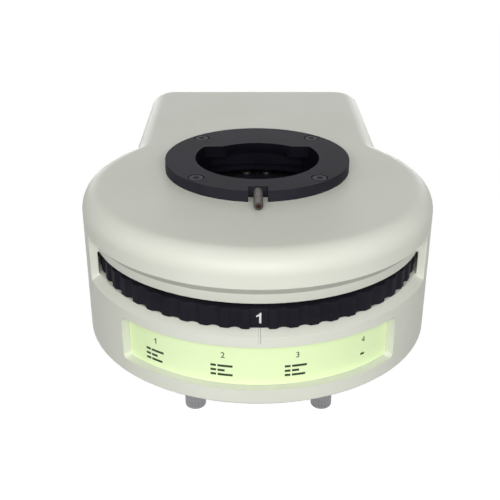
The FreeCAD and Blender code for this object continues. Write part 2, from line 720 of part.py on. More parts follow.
def add_posts(body):
    """Posts for the base plate's screws, the thumb screws and the click stop."""
    posts = sketch(body, "front_post_profile", lift=plate_top)
    for x, y in front_posts:
        circle(posts, s.post_radius, x, y)
    pad(body, "front_posts", posts, s.front_post_height)
    posts = sketch(body, "rear_post_profile", lift=plate_top)
    for x, y in rear_posts:
        circle(posts, s.post_radius, x, y)
    pad(body, "rear_posts", posts, ceiling - plate_top + 0.5)
    posts = sketch(body, "thumb_post_profile", lift=plate_top)
    for side in (1, -1):
        circle(posts, s.thumb_post_radius, side * s.thumb_across, -s.thumb_ahead)
    pad(body, "thumb_posts", posts, s.front_post_height)
    boss = sketch(body, "boss_profile", lift=ceiling - s.boss_drop)
    circle(boss, s.boss_radius, detent_x, detent_y)
    pad(body, "boss", boss, s.boss_drop + 0.5)
    holes = sketch(body, "post_hole_profile", lift=plate_top)
    for x, y in front_posts + rear_posts:
        circle(holes, s.countersunk_shank + s.thread_gap, x, y)
    pocket(body, "post_holes", holes, s.front_post_height * 0.7, upward=True)
    holes = sketch(body, "thumb_hole_profile", lift=plate_top)
    for side in (1, -1):
        circle(holes, s.thumb_shank_radius + s.thread_gap, side * s.thumb_across, -s.thumb_ahead)
    pocket(body, "thumb_holes", holes, s.front_post_height - 1.5, upward=True)
    hole = sketch(body, "sleeve_hole_profile", lift=ceiling - s.boss_drop)
    circle(hole, s.sleeve_radius, detent_x, detent_y)
    pocket(body, "sleeve_hole", hole, s.boss_drop, upward=True)


def add_rear_openings(body):
    """Openings for the dimmer, the switch and the power socket, cut out through the rear wall."""
    profile = sketch(body, "rear_opening_profile", "XZ_Plane", lift=-(inner_face - 1))
    circle(profile, s.dimmer_bush_radius + s.thread_gap, -s.knob_across, panel_level)
    circle(profile, s.socket_barrel + s.thread_gap, s.socket_across, panel_level)
    half_width = s.rocker_width / 2 + s.thread_gap
    half_height = s.rocker_height / 2 + s.thread_gap
    rectangle(profile, -half_width, panel_level - half_height, half_width, panel_level + half_height)
    pocket(body, "rear_openings", profile, s.side_wall + 2)


make_housing()


# Base plate, access cover and dovetail

def make_base_plate():
    body = new_body("base_plate")
    inset = s.rim_width + s.plate_gap
    front, rear = plan_sketches(body, "plate", inset, inset, underside)
    pad(body, "round_front", front, s.plate_thickness)
    pad(body, "rear_block", rear, s.plate_thickness)
    beyond = -s.front_reach
    half = s.cover_half_width
    seat = sketch(body, "cover_seat_profile", lift=underside)
    rectangle(seat, -half, beyond, half, -s.cover_back)
    pocket(body, "cover_seat", seat, cover_depth, upward=True)
    half = half - s.cover_step
    opening = sketch(body, "cover_opening_profile", lift=underside)
    rectangle(opening, -half, beyond, half, -(s.cover_back + s.cover_step))
    pocket(body, "cover_opening", opening, s.plate_thickness, upward=True)
    light = sketch(body, "light_hole_profile", lift=underside)
    circle(light, s.plate_hole)
    pocket(body, "light_hole", light, s.plate_thickness, upward=True)
    flange = sketch(body, "dovetail_seat_profile", lift=underside)
    circle(flange, s.dovetail_flange + s.plate_gap)
    pocket(body, "dovetail_seat", flange, s.dovetail_flange_depth, upward=True)
    holes = sketch(body, "screw_hole_profile", lift=underside)
    for x, y in front_posts + rear_posts:
        circle(holes, s.countersunk_radius + s.thread_gap, x, y)
    pocket(body, "screw_heads", holes, s.countersunk_height + s.thread_gap, upward=True)
    holes = sketch(body, "shank_hole_profile", lift=underside)
    for x, y in front_posts + rear_posts:
        circle(holes, s.countersunk_shank + s.thread_gap, x, y)
    pocket(body, "screw_shanks", holes, s.plate_thickness, upward=True)
    holes = sketch(body, "dovetail_hole_profile", lift=underside)
    offset = s.dovetail_screw_circle / 2 * cosine(45)
    circle(holes, s.countersunk_shank + s.thread_gap, offset, offset)
    hole = pocket(body, "dovetail_hole", holes, s.plate_thickness, upward=True)
    around(body, "dovetail_holes", [hole], as_size(4), holes)
    holes = sketch(body, "axle_hole_profile", lift=underside)
    for x, y in axle_screw_spots:
        circle(holes, s.module_screw_radius + s.thread_gap, x, y)
    pocket(body, "axle_holes", holes, s.plate_thickness, upward=True)


axle_screw_step = (s.flange_radius + s.collar_radius) / 2
axle_screw_angles = (190, 270, 350)
axle_screw_spots = [
    (axle_screw_step * cosine(angle), -s.optics_to_turret + axle_screw_step * sine(angle))
    for angle in axle_screw_angles
]
make_base_plate()


def screw(name, x, y, z, head_radius, head_height, shank_radius, shank_length, head_end=None):
    """Screw whose head stands at z and rises, with its shank below; the head may taper."""
    head_end = head_radius if head_end is None else head_end
    if head_end is head_radius:
        head = cylinder(name + "_head", head_radius, head_height, x, y, z)
    else:
        head = cone(name + "_head", head_end, head_radius, head_height, x, y, z)
    shank = cylinder(name + "_shank", shank_radius, shank_length, x, y, as_size(z) - shank_length)
    return fuse(name, head, shank)


def upward_screw(name, x, y, z, reach):
    """Countersunk screw driven upwards, its head's face at z."""
    head = cone(name + "_head", s.countersunk_radius, s.countersunk_shank, s.countersunk_height, x, y, z)
    shank = cylinder(name + "_shank", s.countersunk_shank, reach, x, y, z)
    return fuse(name, head, shank)


group("base_screws", [
    upward_screw(f"base_screw_{k}", x, y, underside, s.plate_thickness + s.front_post_height * 0.5)
    for k, (x, y) in enumerate(front_posts + rear_posts)
])


def make_access_cover():
    """Front part of the underside that two thumb screws hold; it fills the step in the base plate."""
    gap = s.plate_gap
    reach = s.housing_radius - s.rim_width - gap
    disc = cylinder("cover_disc", reach, s.plate_thickness, 0, -s.optics_to_housing, underside)
    far = -s.front_reach
    lower = box("cover_lower", 2 * (s.cover_half_width - gap), -far - s.cover_back - gap, cover_depth - gap,
                0, far, underside, centred="x")
    inner = s.cover_step + gap
    upper = box("cover_upper", 2 * (s.cover_half_width - inner), -far - s.cover_back - inner,
                s.plate_thickness,
                0, far, underside, centred="x")
    plate = common("cover_plate", disc, fuse("cover_blank", lower, upper))
    holes = [cylinder(f"cover_hole_{side}", s.thumb_shank_radius + s.thread_gap, s.plate_thickness + 2,
                      side * s.thumb_across, -s.thumb_ahead, underside - 1) for side in (1, -1)]
    keep(cut("access_cover", plate, *holes), "access_cover")


make_access_cover()


def groove_outline(item, radius, depth):
    """V groove that comes in through a round side."""
    polygon(item, [(radius - depth, ZERO), (radius + depth, -1.5 * depth), (radius + depth, 1.5 * depth)])


def make_thumb_screw(name, side):
    """Knurled head below the cover, with a shank that reaches up into its post."""
    body = new_body(name)
    head_top = underside - s.thumb_head_gap
    profile = sketch(body, "profile", "XZ_Plane")
    polygon(profile, [
        (ZERO, ZERO), (s.thumb_head_radius, ZERO), (s.thumb_head_radius, head_top),
        (s.thumb_shank_radius, head_top), (s.thumb_shank_radius, head_top + s.thumb_shank_length),
        (ZERO, head_top + s.thumb_shank_length)])
    revolve(body, "turned", profile)
    round_edges(body, "soft_end", s.thumb_round, lambda edge: edge.BoundBox.ZMax < 0.01)
    knurl = sketch(body, "knurl_profile", lift=s.thumb_round)
    groove_outline(knurl, s.thumb_head_radius, s.knurl_depth)
    groove = pocket(body, "knurl", knurl, head_top, upward=True)
    around(body, "knurls", [groove], s.thumb_knurls, knurl)
    place(body, side * s.thumb_across, -s.thumb_ahead, 0)


make_thumb_screw("thumb_screw_left", -1)
make_thumb_screw("thumb_screw_right", 1)


def make_dovetail():
    """Male dovetail that goes into the microscope's arm."""
    body = new_body("lower_dovetail")
    profile = sketch(body, "profile", "XZ_Plane")
    neck_low = underside - s.dovetail_neck_length
    polygon(profile, [
        (s.light_hole, ZERO), (s.dovetail_radius, ZERO), (s.dovetail_radius, s.dovetail_land),
        (s.dovetail_neck, neck_low), (s.dovetail_neck, underside), (s.dovetail_flange, underside),
        (s.dovetail_flange, underside + s.dovetail_flange_depth),
        (s.light_hole, underside + s.dovetail_flange_depth)])
    revolve(body, "turned", profile)
    heads = sketch(body, "screw_head_profile", lift=underside)
    offset = s.dovetail_screw_circle / 2 * cosine(45)
    circle(heads, s.countersunk_radius + s.thread_gap, offset, offset)
    head = pocket(body, "screw_head", heads, s.countersunk_height + s.thread_gap, upward=True)
    shanks = sketch(body, "shank_profile", lift=underside)
    circle(shanks, s.countersunk_shank + s.thread_gap, offset, offset)
    shank = pocket(body, "shank", shanks, s.dovetail_flange_depth, upward=True)
    around(body, "screw_holes", [head, shank], as_size(4), shanks)


make_dovetail()
dovetail_offset = s.dovetail_screw_circle / 2 * cosine(45)
group("dovetail_screws", [
    upward_screw(f"dovetail_screw_{x}_{y}", x * dovetail_offset, y * dovetail_offset, underside,
                 s.plate_thickness)
    for x in (1, -1) for y in (1, -1)
])


# Head socket

def make_head_ring():
    """Black ring with the dovetail socket for the microscope's head."""
    body = new_body("head_ring")
    flange = sketch(body, "flange_profile", lift=roof)
    circle(flange, s.ring_radius)
    pad(body, "flange", flange, s.ring_thickness)
    spigot = sketch(body, "spigot_profile", lift=roof - s.spigot_depth)
    circle(spigot, s.spigot_radius)
    pad(body, "spigot", spigot, s.spigot_depth)
    mouth = sketch(body, "mouth_profile", lift=ring_top)
    mouth_outline(mouth)
    pocket(body, "mouth", mouth, s.lip_height)
    chamber = sketch(body, "chamber_profile", lift=ring_top - s.lip_height)
    lens_outline(chamber, s.socket_radius, s.pocket_back_radius, s.pocket_back)
    pocket(body, "chamber", chamber, ring_top - s.lip_height - socket_floor)
    floor = sketch(body, "floor_profile", lift=socket_floor)
    lens_outline(floor, s.ledge_radius, s.ledge_back_radius, s.ledge_back)
    pocket(body, "floor_hole", floor, s.ledge_thickness)
    slope = sketch(body, "lip_profile", "YZ_Plane", slide=-s.lip_shift)
    lip_foot = ring_top - s.lip_height
    polygon(slope, [
        (s.lip_radius - 1, ring_top - s.lip_land), (s.lip_radius, ring_top - s.lip_land),
        (s.lip_radius + s.lip_undercut, lip_foot), (s.lip_radius - 1, lip_foot)])
    revolve(body, "lip_slope", slope, s.lip_angle, "Groove")
    slot = sketch(body, "slot_profile", lift=ring_top)
    half = s.ring_slot_width / 2
    rectangle(slot, -half, -(s.ring_radius + 1), half, -s.ring_slot_inner)
    pocket(body, "front_slot", slot, s.ring_thickness)
    clamp = sketch(body, "clamp_hole_profile", "XZ_Plane", lift=s.socket_radius - 1)
    circle(clamp, s.clamp_radius + s.thread_gap, ZERO, roof + s.clamp_lift)
    pocket(body, "clamp_hole", clamp, s.ring_slot_inner - s.socket_radius + 2, upward=True)
    offset = s.ring_screw_circle / 2 * cosine(45)
    heads = sketch(body, "screw_head_profile", lift=ring_top)
    circle(heads, s.ring_head_radius + s.ring_head_gap, offset, offset)
    head = pocket(body, "screw_head", heads, s.ring_head_height)
    shanks = sketch(body, "shank_profile", lift=ring_top)
    circle(shanks, s.ring_shank_radius + s.thread_gap, offset, offset)
    shank = pocket(body, "shank", shanks, s.ring_thickness)
    around(body, "screw_holes", [head, shank], as_size(4), shanks)


def mouth_outline(item):
    """Socket seen from above: round front, two corner pockets and the fixed lip at the back."""
    lip_y = -s.lip_shift
    half = root(s.socket_radius * s.socket_radius - s.socket_back * s.socket_back)
    rise = s.socket_back + s.lip_shift
    cusp = root(s.lip_radius * s.lip_radius - rise * rise)
    corners = [vector(half, s.socket_back), vector(cusp, s.socket_back),
               vector(-cusp, s.socket_back), vector(-half, s.socket_back)]
    front = arc(item, s.socket_radius, 0, 0, corners[3], corners[0])
    item.addGeometry(Part.LineSegment(corners[0], corners[1]), False)
    lip = arc(item, s.lip_radius, 0, lip_y, corners[1], corners[2])
    item.addGeometry(Part.LineSegment(corners[2], corners[3]), False)
    for k in range(4):
        item.addConstraint(Sketcher.Constraint("Coincident", front + k, 2, front + (k + 1) % 4, 1))
    hold(item, front, 3, 0, 0)
    hold(item, lip, 3, 0, lip_y)
    name_constraint(item, Sketcher.Constraint("Radius", front, s.socket_radius.value), "socket_radius",
                    s.socket_radius.text)
    name_constraint(item, Sketcher.Constraint("Radius", lip, s.lip_radius.value), "lip_radius",
                    s.lip_radius.text)
    for edge, label in ((front + 1, "right_pocket"), (front + 3, "left_pocket")):
        item.addConstraint(Sketcher.Constraint("Horizontal", edge))
        name_constraint(item, Sketcher.Constraint("DistanceY", -1, 1, edge, 1, s.socket_back.value), label,
                        s.socket_back.text)


make_head_ring()
ring_offset = s.ring_screw_circle / 2 * cosine(45)


def make_ring_screw(x, y):
    name = f"ring_screw_{x}_{y}"
    z = ring_top - s.ring_head_height
    blank = screw(name + "_blank", x * ring_offset, y * ring_offset, z, s.ring_head_radius,
                  s.ring_head_height,
                  s.ring_shank_radius, s.ring_shank_length)
    return cut(name, blank, hex_hole(name + "_hex", 1.45, 1.4, x * ring_offset, y * ring_offset,
                                     ring_top - 1.4))


def hex_hole(name, corner, depth, x, y, z, facing=(0, 0, 1)):
    item = doc.addObject("Part::Prism", name)
    item.Polygon = 6
    item.Placement.Rotation = FreeCAD.Rotation(FreeCAD.Vector(0, 0, 1), FreeCAD.Vector(*facing))
    bind(item, Circumradius=corner, Height=as_size(depth) + 0.5)
    place(item, x, y, z)
    return item


group("head_ring_screws", [make_ring_screw(x, y) for x in (1, -1) for y in (1, -1)])
clamp_tip = s.clamp_inner + s.clamp_length
clamp_level = roof + s.clamp_lift
clamp_rod = cylinder("clamp_rod", s.clamp_radius, s.clamp_length, 0, -s.clamp_inner, clamp_level, (0, -1, 0))
clamp_socket = hex_hole("clamp_hex", 1.15, 2.5, 0, -(clamp_tip - 2.5), clamp_level, (0, -1, 0))
keep(cut("clamp_screw", clamp_rod, clamp_socket), "clamp_screw")


def make_label_strip():
    body = new_body("label_strip")
    low = label_low + s.strip_gap
    high = roof - s.label_top_drop - s.strip_gap
    back = s.label_depth - s.glue_gap
    face = back - s.strip_thickness
    profile = band_sketch(body, "profile", [(back, low), (back, high), (face, high), (face, low)])
    revolve(body, "bent", profile, s.label_angle - s.strip_end_angle)
    round_edges(body, "corners", s.label_corner - s.strip_gap,
                lambda edge: edge.BoundBox.ZLength < 0.01
                and math.hypot(edge.BoundBox.XLength, edge.BoundBox.YLength) < s.strip_thickness.value * 1.2)


make_label_strip()


# Turret

def make_wheel():
    """Scalloped rim with four number seats and a skirt up to the turret plate."""
    body = new_body("turret_wheel")
    rim = sketch(body, "rim_profile", lift=wheel_low)
    circle(rim, s.wheel_radius)
    circle(rim, s.wheel_inner)
    pad(body, "rim", rim, s.wheel_height)
    floor = s.wheel_radius - s.lobe_depth
    cuts = sketch(body, "valley_profile", lift=wheel_low)
    pitch = (360 / s.station_count - s.lobe_gap_angle) / s.valley_count
    for k in range(int(s.valley_count.value)):
        angle = (s.lobe_gap_angle + pitch) / 2 + pitch * k
        circle(cuts, s.lobe_valley, (floor + s.lobe_valley) * cosine(angle),
               (floor + s.lobe_valley) * sine(angle))
    half = s.number_pad_width / 2
    rectangle(cuts, floor, -half, floor + 3, half)
    quarter = pocket(body, "valleys", cuts, s.wheel_height, upward=True)
    around(body, "lobes", [quarter], s.station_count, cuts)
    outside = s.wheel_radius.value
    round_edges(body, "lobe_edges", s.lobe_round,
                lambda edge: is_upright(edge) and abs(math.hypot(middle(edge).x,
                                                                 middle(edge).y) - outside) < 0.01)
    skirt = sketch(body, "skirt_profile", lift=wheel_top)
    circle(skirt, s.skirt_radius)
    circle(skirt, s.wheel_inner)
    pad(body, "skirt", skirt, turret_plate_low - wheel_top)
    holes = sketch(body, "screw_hole_profile", lift=turret_plate_low)
    circle(holes, s.module_screw_radius + s.thread_gap, *wheel_screw_spot)
    hole = pocket(body, "screw_hole", holes, s.module_screw_reach + 1)
    around(body, "screw_holes", [hole], as_size(4), holes)
    on_turret(body)


wheel_screw_spot = (s.wheel_screw_circle * cosine(45), s.wheel_screw_circle * sine(45))
make_wheel()

cube_face = s.station_circle + s.cube_side / 2
sink_low = cube_face + s.snout_length + s.lamp_board_thickness
sink_screw_at = sink_low + s.sink_base * 0.65
cube_spots = [(s.station_circle + side * s.cube_screw_step, -side * s.cube_screw_step) for side in (1, -1)]
sink_spots = [(sink_screw_at, side * s.sink_screw_step) for side in (1, -1)]
STATION_ANGLES = {1: 90, 2: 180, 3: 270, 4: 0}


def turn_spot(spot, angle):
    x, y = spot
    return (x * cosine(angle) - y * sine(angle), x * sine(angle) + y * cosine(angle))


def make_turret_plate():
    """Plate that carries the stations, with ports, screw holes and the click ball's track and dimples."""
    body = new_body("turret_plate")
    disc = sketch(body, "disc_profile", lift=turret_plate_low)
    circle(disc, s.skirt_radius)
    circle(disc, s.hub_radius + s.thread_gap)
    pad(body, "disc", disc, s.turret_plate_thickness)
    port = sketch(body, "port_profile", lift=turret_plate_top)
    circle(port, s.filter_radius + s.filter_gap, s.station_circle, 0)
    for x, y in cube_spots:
        circle(port, s.module_screw_radius + s.thread_gap, x, y)
    ports = pocket(body, "port", port, s.turret_plate_thickness)
    around(body, "ports", [ports], s.station_count, port)
    rim_hole = sketch(body, "rim_hole_profile", lift=turret_plate_top)
    circle(rim_hole, s.module_screw_radius + s.thread_gap, *wheel_screw_spot)
    hole = pocket(body, "rim_hole", rim_hole, s.turret_plate_thickness)
    around(body, "rim_holes", [hole], s.station_count, rim_hole)
    holes = sketch(body, "sink_hole_profile", lift=turret_plate_top)
    for station in (1, 2, 3):
        for spot in sink_spots:
            circle(holes, s.module_screw_radius + s.thread_gap, *turn_spot(spot, STATION_ANGLES[station]))
    pocket(body, "sink_holes", holes, s.turret_plate_thickness)
    sunk = s.ball_radius - s.ball_sink
    half = root(s.ball_radius * s.ball_radius - sunk * sunk) + s.end_gap
    depth = s.ball_sink + s.end_gap
    track = sketch(body, "track_profile", lift=turret_plate_top)
    circle(track, s.detent_circle + half)
    circle(track, s.detent_circle - half)
    pocket(body, "track", track, depth)
    floor = turret_plate_top - depth
    dimple = sketch(body, "dimple_profile", lift=floor)
    circle(dimple, half * 0.75, s.detent_circle * cosine(s.detent_angle),
           s.detent_circle * sine(s.detent_angle))
    hole = pocket(body, "dimple", dimple, s.dimple_depth)
    around(body, "dimples", [hole], s.station_count, dimple)
    on_turret(body)


make_turret_plate()


def small_screw(name, x, y, z, grip):
    """Cheese-head screw with its head on a plate's top at z."""
    return screw(name, x, y, z, s.module_head_radius, s.module_head_height, s.module_screw_radius, grip)


plate_grip = s.turret_plate_thickness + s.module_screw_reach
group("wheel_screws", [
    on_turret(small_screw(f"wheel_screw_{k}", *wheel_screw_spot, turret_plate_top, plate_grip), 90 * k)
    for k in range(4)
])
station_screws = [(station, k, spot) for station in STATION_ANGLES for k, spot in enumerate(cube_spots)]
station_screws += [(station, k + 2, spot) for station in (1, 2, 3) for k, spot in enumerate(sink_spots)]
group("module_screws", [
    on_turret(small_screw(f"module_screw_{station}_{k}", *spot, turret_plate_top, plate_grip),
              STATION_ANGLES[station])
    for station, k, spot in station_screws
])


def make_hub():
    """Hollow hub under the turret plate with a bearing seat at each end."""
    body = new_body("turret_hub")
    flange_top = turret_plate_top + s.hub_flange_thickness
    seat = s.bearing_outer + s.thread_gap
    waist = s.bearing_outer - 1
    profile = sketch(body, "profile", "XZ_Plane")
    polygon(profile, [
        (seat, hub_low), (s.hub_radius, hub_low), (s.hub_radius, turret_plate_top),
        (s.hub_flange_radius, turret_plate_top), (s.hub_flange_radius, flange_top), (seat, flange_top),
        (seat, upper_bearing_low), (waist, upper_bearing_low), (waist, hub_low + s.bearing_width),
        (seat, hub_low + s.bearing_width)])
    revolve(body, "turned", profile)
    on_turret(body)


def make_bearing(name, level):
    """Ball bearing with a shield sunk into each face."""
    body = new_body(name)
    inner = s.axle_radius + s.running_gap
    shield_inner = inner + 1
    shield_outer = s.bearing_outer - 1
    sunk = 0.4
    top = level + s.bearing_width
    profile = sketch(body, "profile", "XZ_Plane")
    polygon(profile, [
        (inner, level), (shield_inner, level), (shield_inner, level + sunk), (shield_outer, level + sunk),
        (shield_outer, level), (s.bearing_outer, level), (s.bearing_outer, top), (shield_outer, top),
        (shield_outer, top - sunk), (shield_inner, top - sunk), (shield_inner, top), (inner, top)])
    revolve(body, "turned", profile)
    on_turret(body)


upper_bearing_low = turret_plate_low - s.bearing_width - 1
upper_bearing_top = upper_bearing_low + s.bearing_width
make_hub()
make_bearing("lower_bearing", hub_low)
make_bearing("upper_bearing", upper_bearing_low)


def make_axle():
    """Fixed axle whose flange is cut away round the light path."""
    body = new_body("turret_axle")
    flange_top = plate_top + s.flange_thickness
    collar_top = hub_low - s.end_gap
    thread_low = upper_bearing_top
    thread_top = thread_low + s.washer_thickness + s.nut_height + 0.6
    profile = sketch(body, "profile", "XZ_Plane")
    polygon(profile, [
        (ZERO, plate_top), (s.flange_radius, plate_top), (s.flange_radius, flange_top),
        (s.collar_radius, flange_top), (s.collar_radius, collar_top), (s.axle_radius, collar_top),
        (s.axle_radius, thread_low), (s.nut_thread, thread_low), (s.nut_thread, thread_top),
        (ZERO, thread_top)])
    revolve(body, "turned", profile)
    light = sketch(body, "light_profile", lift=plate_top)
    circle(light, s.plate_hole, 0, s.optics_to_turret)
    pocket(body, "light_cut", light, s.flange_thickness, upward=True)
    holes = sketch(body, "hole_profile", lift=plate_top)
    for angle in axle_screw_angles:
        circle(holes, s.module_screw_radius + s.thread_gap, axle_screw_step * cosine(angle),
               axle_screw_step * sine(angle))
    pocket(body, "holes", holes, s.flange_thickness, upward=True)
    on_turret(body)


make_axle()
axle_grip = s.flange_thickness + s.plate_thickness - s.dovetail_flange_depth - s.end_gap
group("axle_screws", [
    small_screw(f"axle_screw_{k}", x, y, plate_top + s.flange_thickness, axle_grip)
    for k, (x, y) in enumerate(axle_screw_spots)
])
thread_hole = s.nut_thread + s.thread_gap
washer_low = upper_bearing_top + s.end_gap
washer = cut("axle_washer", cylinder("washer_disc", s.washer_radius, s.washer_thickness, 0, 0, washer_low),
             cylinder("washer_hole", thread_hole, s.washer_thickness + 2, 0, 0, washer_low - 1))
keep(on_turret(washer), "axle_washer")
nut_low = washer_low + s.washer_thickness
nut_blank = doc.addObject("Part::Prism", "nut_blank")
nut_blank.Polygon = 6
bind(nut_blank, Circumradius=s.nut_radius, Height=s.nut_height)
place(nut_blank, 0, 0, nut_low)
nut = cut("axle_nut", nut_blank, cylinder("nut_hole", thread_hole, s.nut_height + 2, 0, 0, nut_low - 1))
keep(on_turret(nut), "axle_nut")


# Click stop

def make_click_stop():
    """Ball and spring in a sleeve under the roof; the ball is drawn as it rides in the plate's track."""
    sleeve_low = ceiling - s.sleeve_drop
    bore_top = ceiling - 1.6
    outside = cylinder("sleeve_outside", s.sleeve_radius, s.sleeve_drop, detent_x, detent_y, sleeve_low)
    bore = cylinder("sleeve_bore", s.ball_radius + 2 * s.thread_gap, bore_top - sleeve_low + 1, detent_x,
                    detent_y,
                    sleeve_low - 1)
    keep(cut("plunger_sleeve", outside, bore), "plunger_sleeve")
    ball_level = turret_plate_top + s.ball_radius - s.ball_sink
    keep(ball("detent_ball", s.ball_radius, detent_x, detent_y, ball_level), "detent_ball")
    body = new_body("detent_spring")
    spring_low = ball_level + s.ball_radius
    wire = sketch(body, "wire_profile", "XZ_Plane")
    polygon(wire, [(s.spring_radius + s.wire_radius * cosine(angle),
                    spring_low + s.wire_radius + s.wire_radius * sine(angle)) for angle in range(0, 360, 60)])
    coil = body.newObject("PartDesign::AdditiveHelix", "detent_spring_coil")
    coil.Profile = wire
    coil.ReferenceAxis = (wire, ["V_Axis"])
    coil.Mode = "height-turns-angle"
    bind(coil, Height=bore_top - spring_low - 2 * s.wire_radius, Turns=s.spring_turns)
    finish_feature(body)
    place(body, detent_x, detent_y, 0)


make_click_stop()


# Stations: local X runs outwards from the turret's axle, through the station's middle

def make_filter_cube(k, angle):
    """Block with a cavity for the mirror, seats for two filters and a tube towards the lamp."""
    name = f"filter_cube_{k}"
    bore = s.filter_radius + s.filter_gap
    block = box(name + "_block", s.cube_side, s.cube_side, s.cube_height, s.station_circle, 0, cube_low)
    snout = cylinder(name + "_snout", s.snout_radius, s.snout_length + 1, cube_face - 1, 0, optics_level,
                     (1, 0, 0))
    cavity = box(name + "_cavity", s.cube_cavity, s.cube_cavity, s.cube_height - 2 * s.cube_wall,
                 s.station_circle, 0, cube_low + s.cube_wall)
    tools = [
        cavity,
        cylinder(name + "_lower_port", s.port_radius, s.cube_height / 2, s.station_circle, 0, cube_low - 1),
        cylinder(name + "_upper_port", bore, s.cube_wall + 1, s.station_circle, 0,
                 turret_plate_low - s.cube_wall),
        cylinder(name + "_lamp_bore", bore, s.snout_length + 1, cube_face, 0, optics_level, (1, 0, 0)),
        cylinder(name + "_lamp_port", s.port_radius - 0.4, s.cube_side / 2, s.station_circle, 0, optics_level,
                 (1, 0, 0)),
    ]
    for number, (x, y) in enumerate(cube_spots):
        tools.append(cylinder(f"{name}_screw_hole_{number}", s.module_screw_radius + s.thread_gap,
                              s.module_screw_reach + 1, x, y, turret_plate_low - s.module_screw_reach))
    keep(on_turret(cut(name, fuse(name + "_blank", block, snout), *tools), angle), name)


def make_filters(k, angle):
    name = f"exciter_filter_{k}"
    disc = cylinder(name + "_disc", s.filter_radius, s.filter_thickness, cube_face, 0, optics_level,
                    (1, 0, 0))
    keep(on_turret(fuse_one(name, disc), angle), name)
    name = f"emission_filter_{k}"
    disc = cylinder(name + "_disc", s.filter_radius, s.filter_thickness, s.station_circle, 0,
                    turret_plate_low - s.cube_wall)
    keep(on_turret(fuse_one(name, disc), angle), name)


def fuse_one(name, item):
    """Wraps a piece so that it can be set at its station on top of its own place."""
    holder = doc.addObject("Part::Compound", name)
    holder.Links = [item]
    return holder


def make_mirror(k, angle):
    """Mirror at 45 degrees that sends the lamp's light down and lets the picture's light up."""
    body = new_body(f"dichroic_mirror_{k}")
    profile = sketch(body, "profile", "XZ_Plane")
    corners = []
    for along, across in ((-1, -1), (1, -1), (1, 1), (-1, 1)):
        length = along * s.mirror_length / 2
        thickness = across * s.mirror_thickness / 2
        corners.append((s.station_circle + cosine(45) * (length - thickness),
                        optics_level + sine(45) * (length + thickness)))
    polygon(profile, corners)
    slab = pad(body, "slab", profile, s.cube_cavity)
    slab.Midplane = True
    doc.recompute()
    on_turret(body, angle)


def make_collector_lens(k, angle):
    """Plano-convex lens, flat towards the lamp."""
    name = f"collector_lens_{k}"
    thickness = s.lens_edge + s.lens_crown
    dome = (s.filter_radius * s.filter_radius + s.lens_crown * s.lens_crown) / (2 * s.lens_crown)
    start = cube_face + s.lens_inset
    blank = cylinder(name + "_blank", s.filter_radius, thickness, start, 0, optics_level, (1, 0, 0))
    keep(on_turret(common(name, blank, ball(name + "_dome", dome, start + dome, 0, optics_level)), angle),
         name)


def make_lamp_board(k, angle):
    name = f"led_board_{k}"
    start = cube_face + s.snout_length
    board = box(name + "_board", s.lamp_board_thickness, s.lamp_board_side, s.cube_height - s.board_top_gap,
                start, 0, cube_low, centred="y")
    foot = start - s.lamp_foot
    base = cylinder(name + "_lamp", s.lamp_radius, s.lamp_foot + 0.5, foot, 0, optics_level, (1, 0, 0))
    room = box(name + "_room", s.lamp_radius, s.lamp_radius * 3, s.lamp_radius * 3, foot - s.lamp_radius, 0,
               optics_level, centred="yz")
    dome = common(name + "_dome", ball(name + "_ball", s.lamp_radius, foot, 0, optics_level), room)
    keep(on_turret(fuse(name, board, base, dome), angle), name)


def make_heat_sink(k, angle):
    name = f"heat_sink_{k}"
    length = s.sink_base + s.fin_length
    block = box(name + "_block", length, s.sink_width, s.cube_height, sink_low, 0, cube_low, centred="y")
    pitch = (s.sink_width - s.fin_thickness) / (s.fin_count - 1)
    tools = []
    for number in range(int(s.fin_count.value) - 1):
        tools.append(box(f"{name}_slot_{number}", s.fin_length + 1, pitch - s.fin_thickness,
                         s.cube_height + 2,
                         sink_low + s.sink_base, s.fin_thickness - s.sink_width / 2 + pitch * number,
                         cube_low - 1,
                         centred=""))
    for number, (x, y) in enumerate(sink_spots):
        tools.append(cylinder(f"{name}_screw_hole_{number}", s.module_screw_radius + s.thread_gap,
                              s.module_screw_reach + 1, x, y, turret_plate_low - s.module_screw_reach))
    keep(on_turret(cut(name, block, *tools), angle), name)


for station in (1, 2, 3):
    make_filter_cube(station, STATION_ANGLES[station])
    make_filters(station, STATION_ANGLES[station])
    make_mirror(station, STATION_ANGLES[station])
    make_collector_lens(station, STATION_ANGLES[station])
    make_lamp_board(station, STATION_ANGLES[station])
    make_heat_sink(station, STATION_ANGLES[station])


def make_open_tube():
    """Empty station for ordinary bright-field viewing."""
    flange = box("open_tube_flange", s.cube_side, s.cube_side, s.cube_wall, s.station_circle, 0,
                 turret_plate_low - s.cube_wall)
    tube = cylinder("open_tube_wall", s.open_tube_radius, s.cube_height, s.station_circle, 0, cube_low)
    bore = cylinder("open_tube_bore", s.filter_radius + s.filter_gap, s.cube_height + 2, s.station_circle, 0,
                    cube_low - 1)
    holes = [cylinder(f"open_tube_hole_{number}", s.module_screw_radius + s.thread_gap,
                      s.module_screw_reach + 1,
                      x, y, turret_plate_low - s.module_screw_reach) for number,
                      (x, y) in enumerate(cube_spots)]
    tube = cut("brightfield_tube", fuse("open_tube_blank", flange, tube), bore, *holes)
    keep(on_turret(tube, STATION_ANGLES[4]), "brightfield_tube")


make_open_tube()


# Supply: contacts under the working station, driver board, and the controls at the back

contact_y = s.contact_circle - s.optics_to_turret
contact_top = cube_low - s.contact_gap - s.contact_tip
contact_block = box("contact_block_blank", 3.2 * s.contact_step, 8, contact_top - plate_top, 0, contact_y,
                    plate_top)
pin_seats = [cylinder(f"contact_seat_{side}", s.contact_radius + 0.4 + s.thread_gap, 4, side * s.contact_step,
                      contact_y, contact_top - 3) for side in (1, -1)]
keep(cut("contact_block", contact_block, *pin_seats), "contact_block")


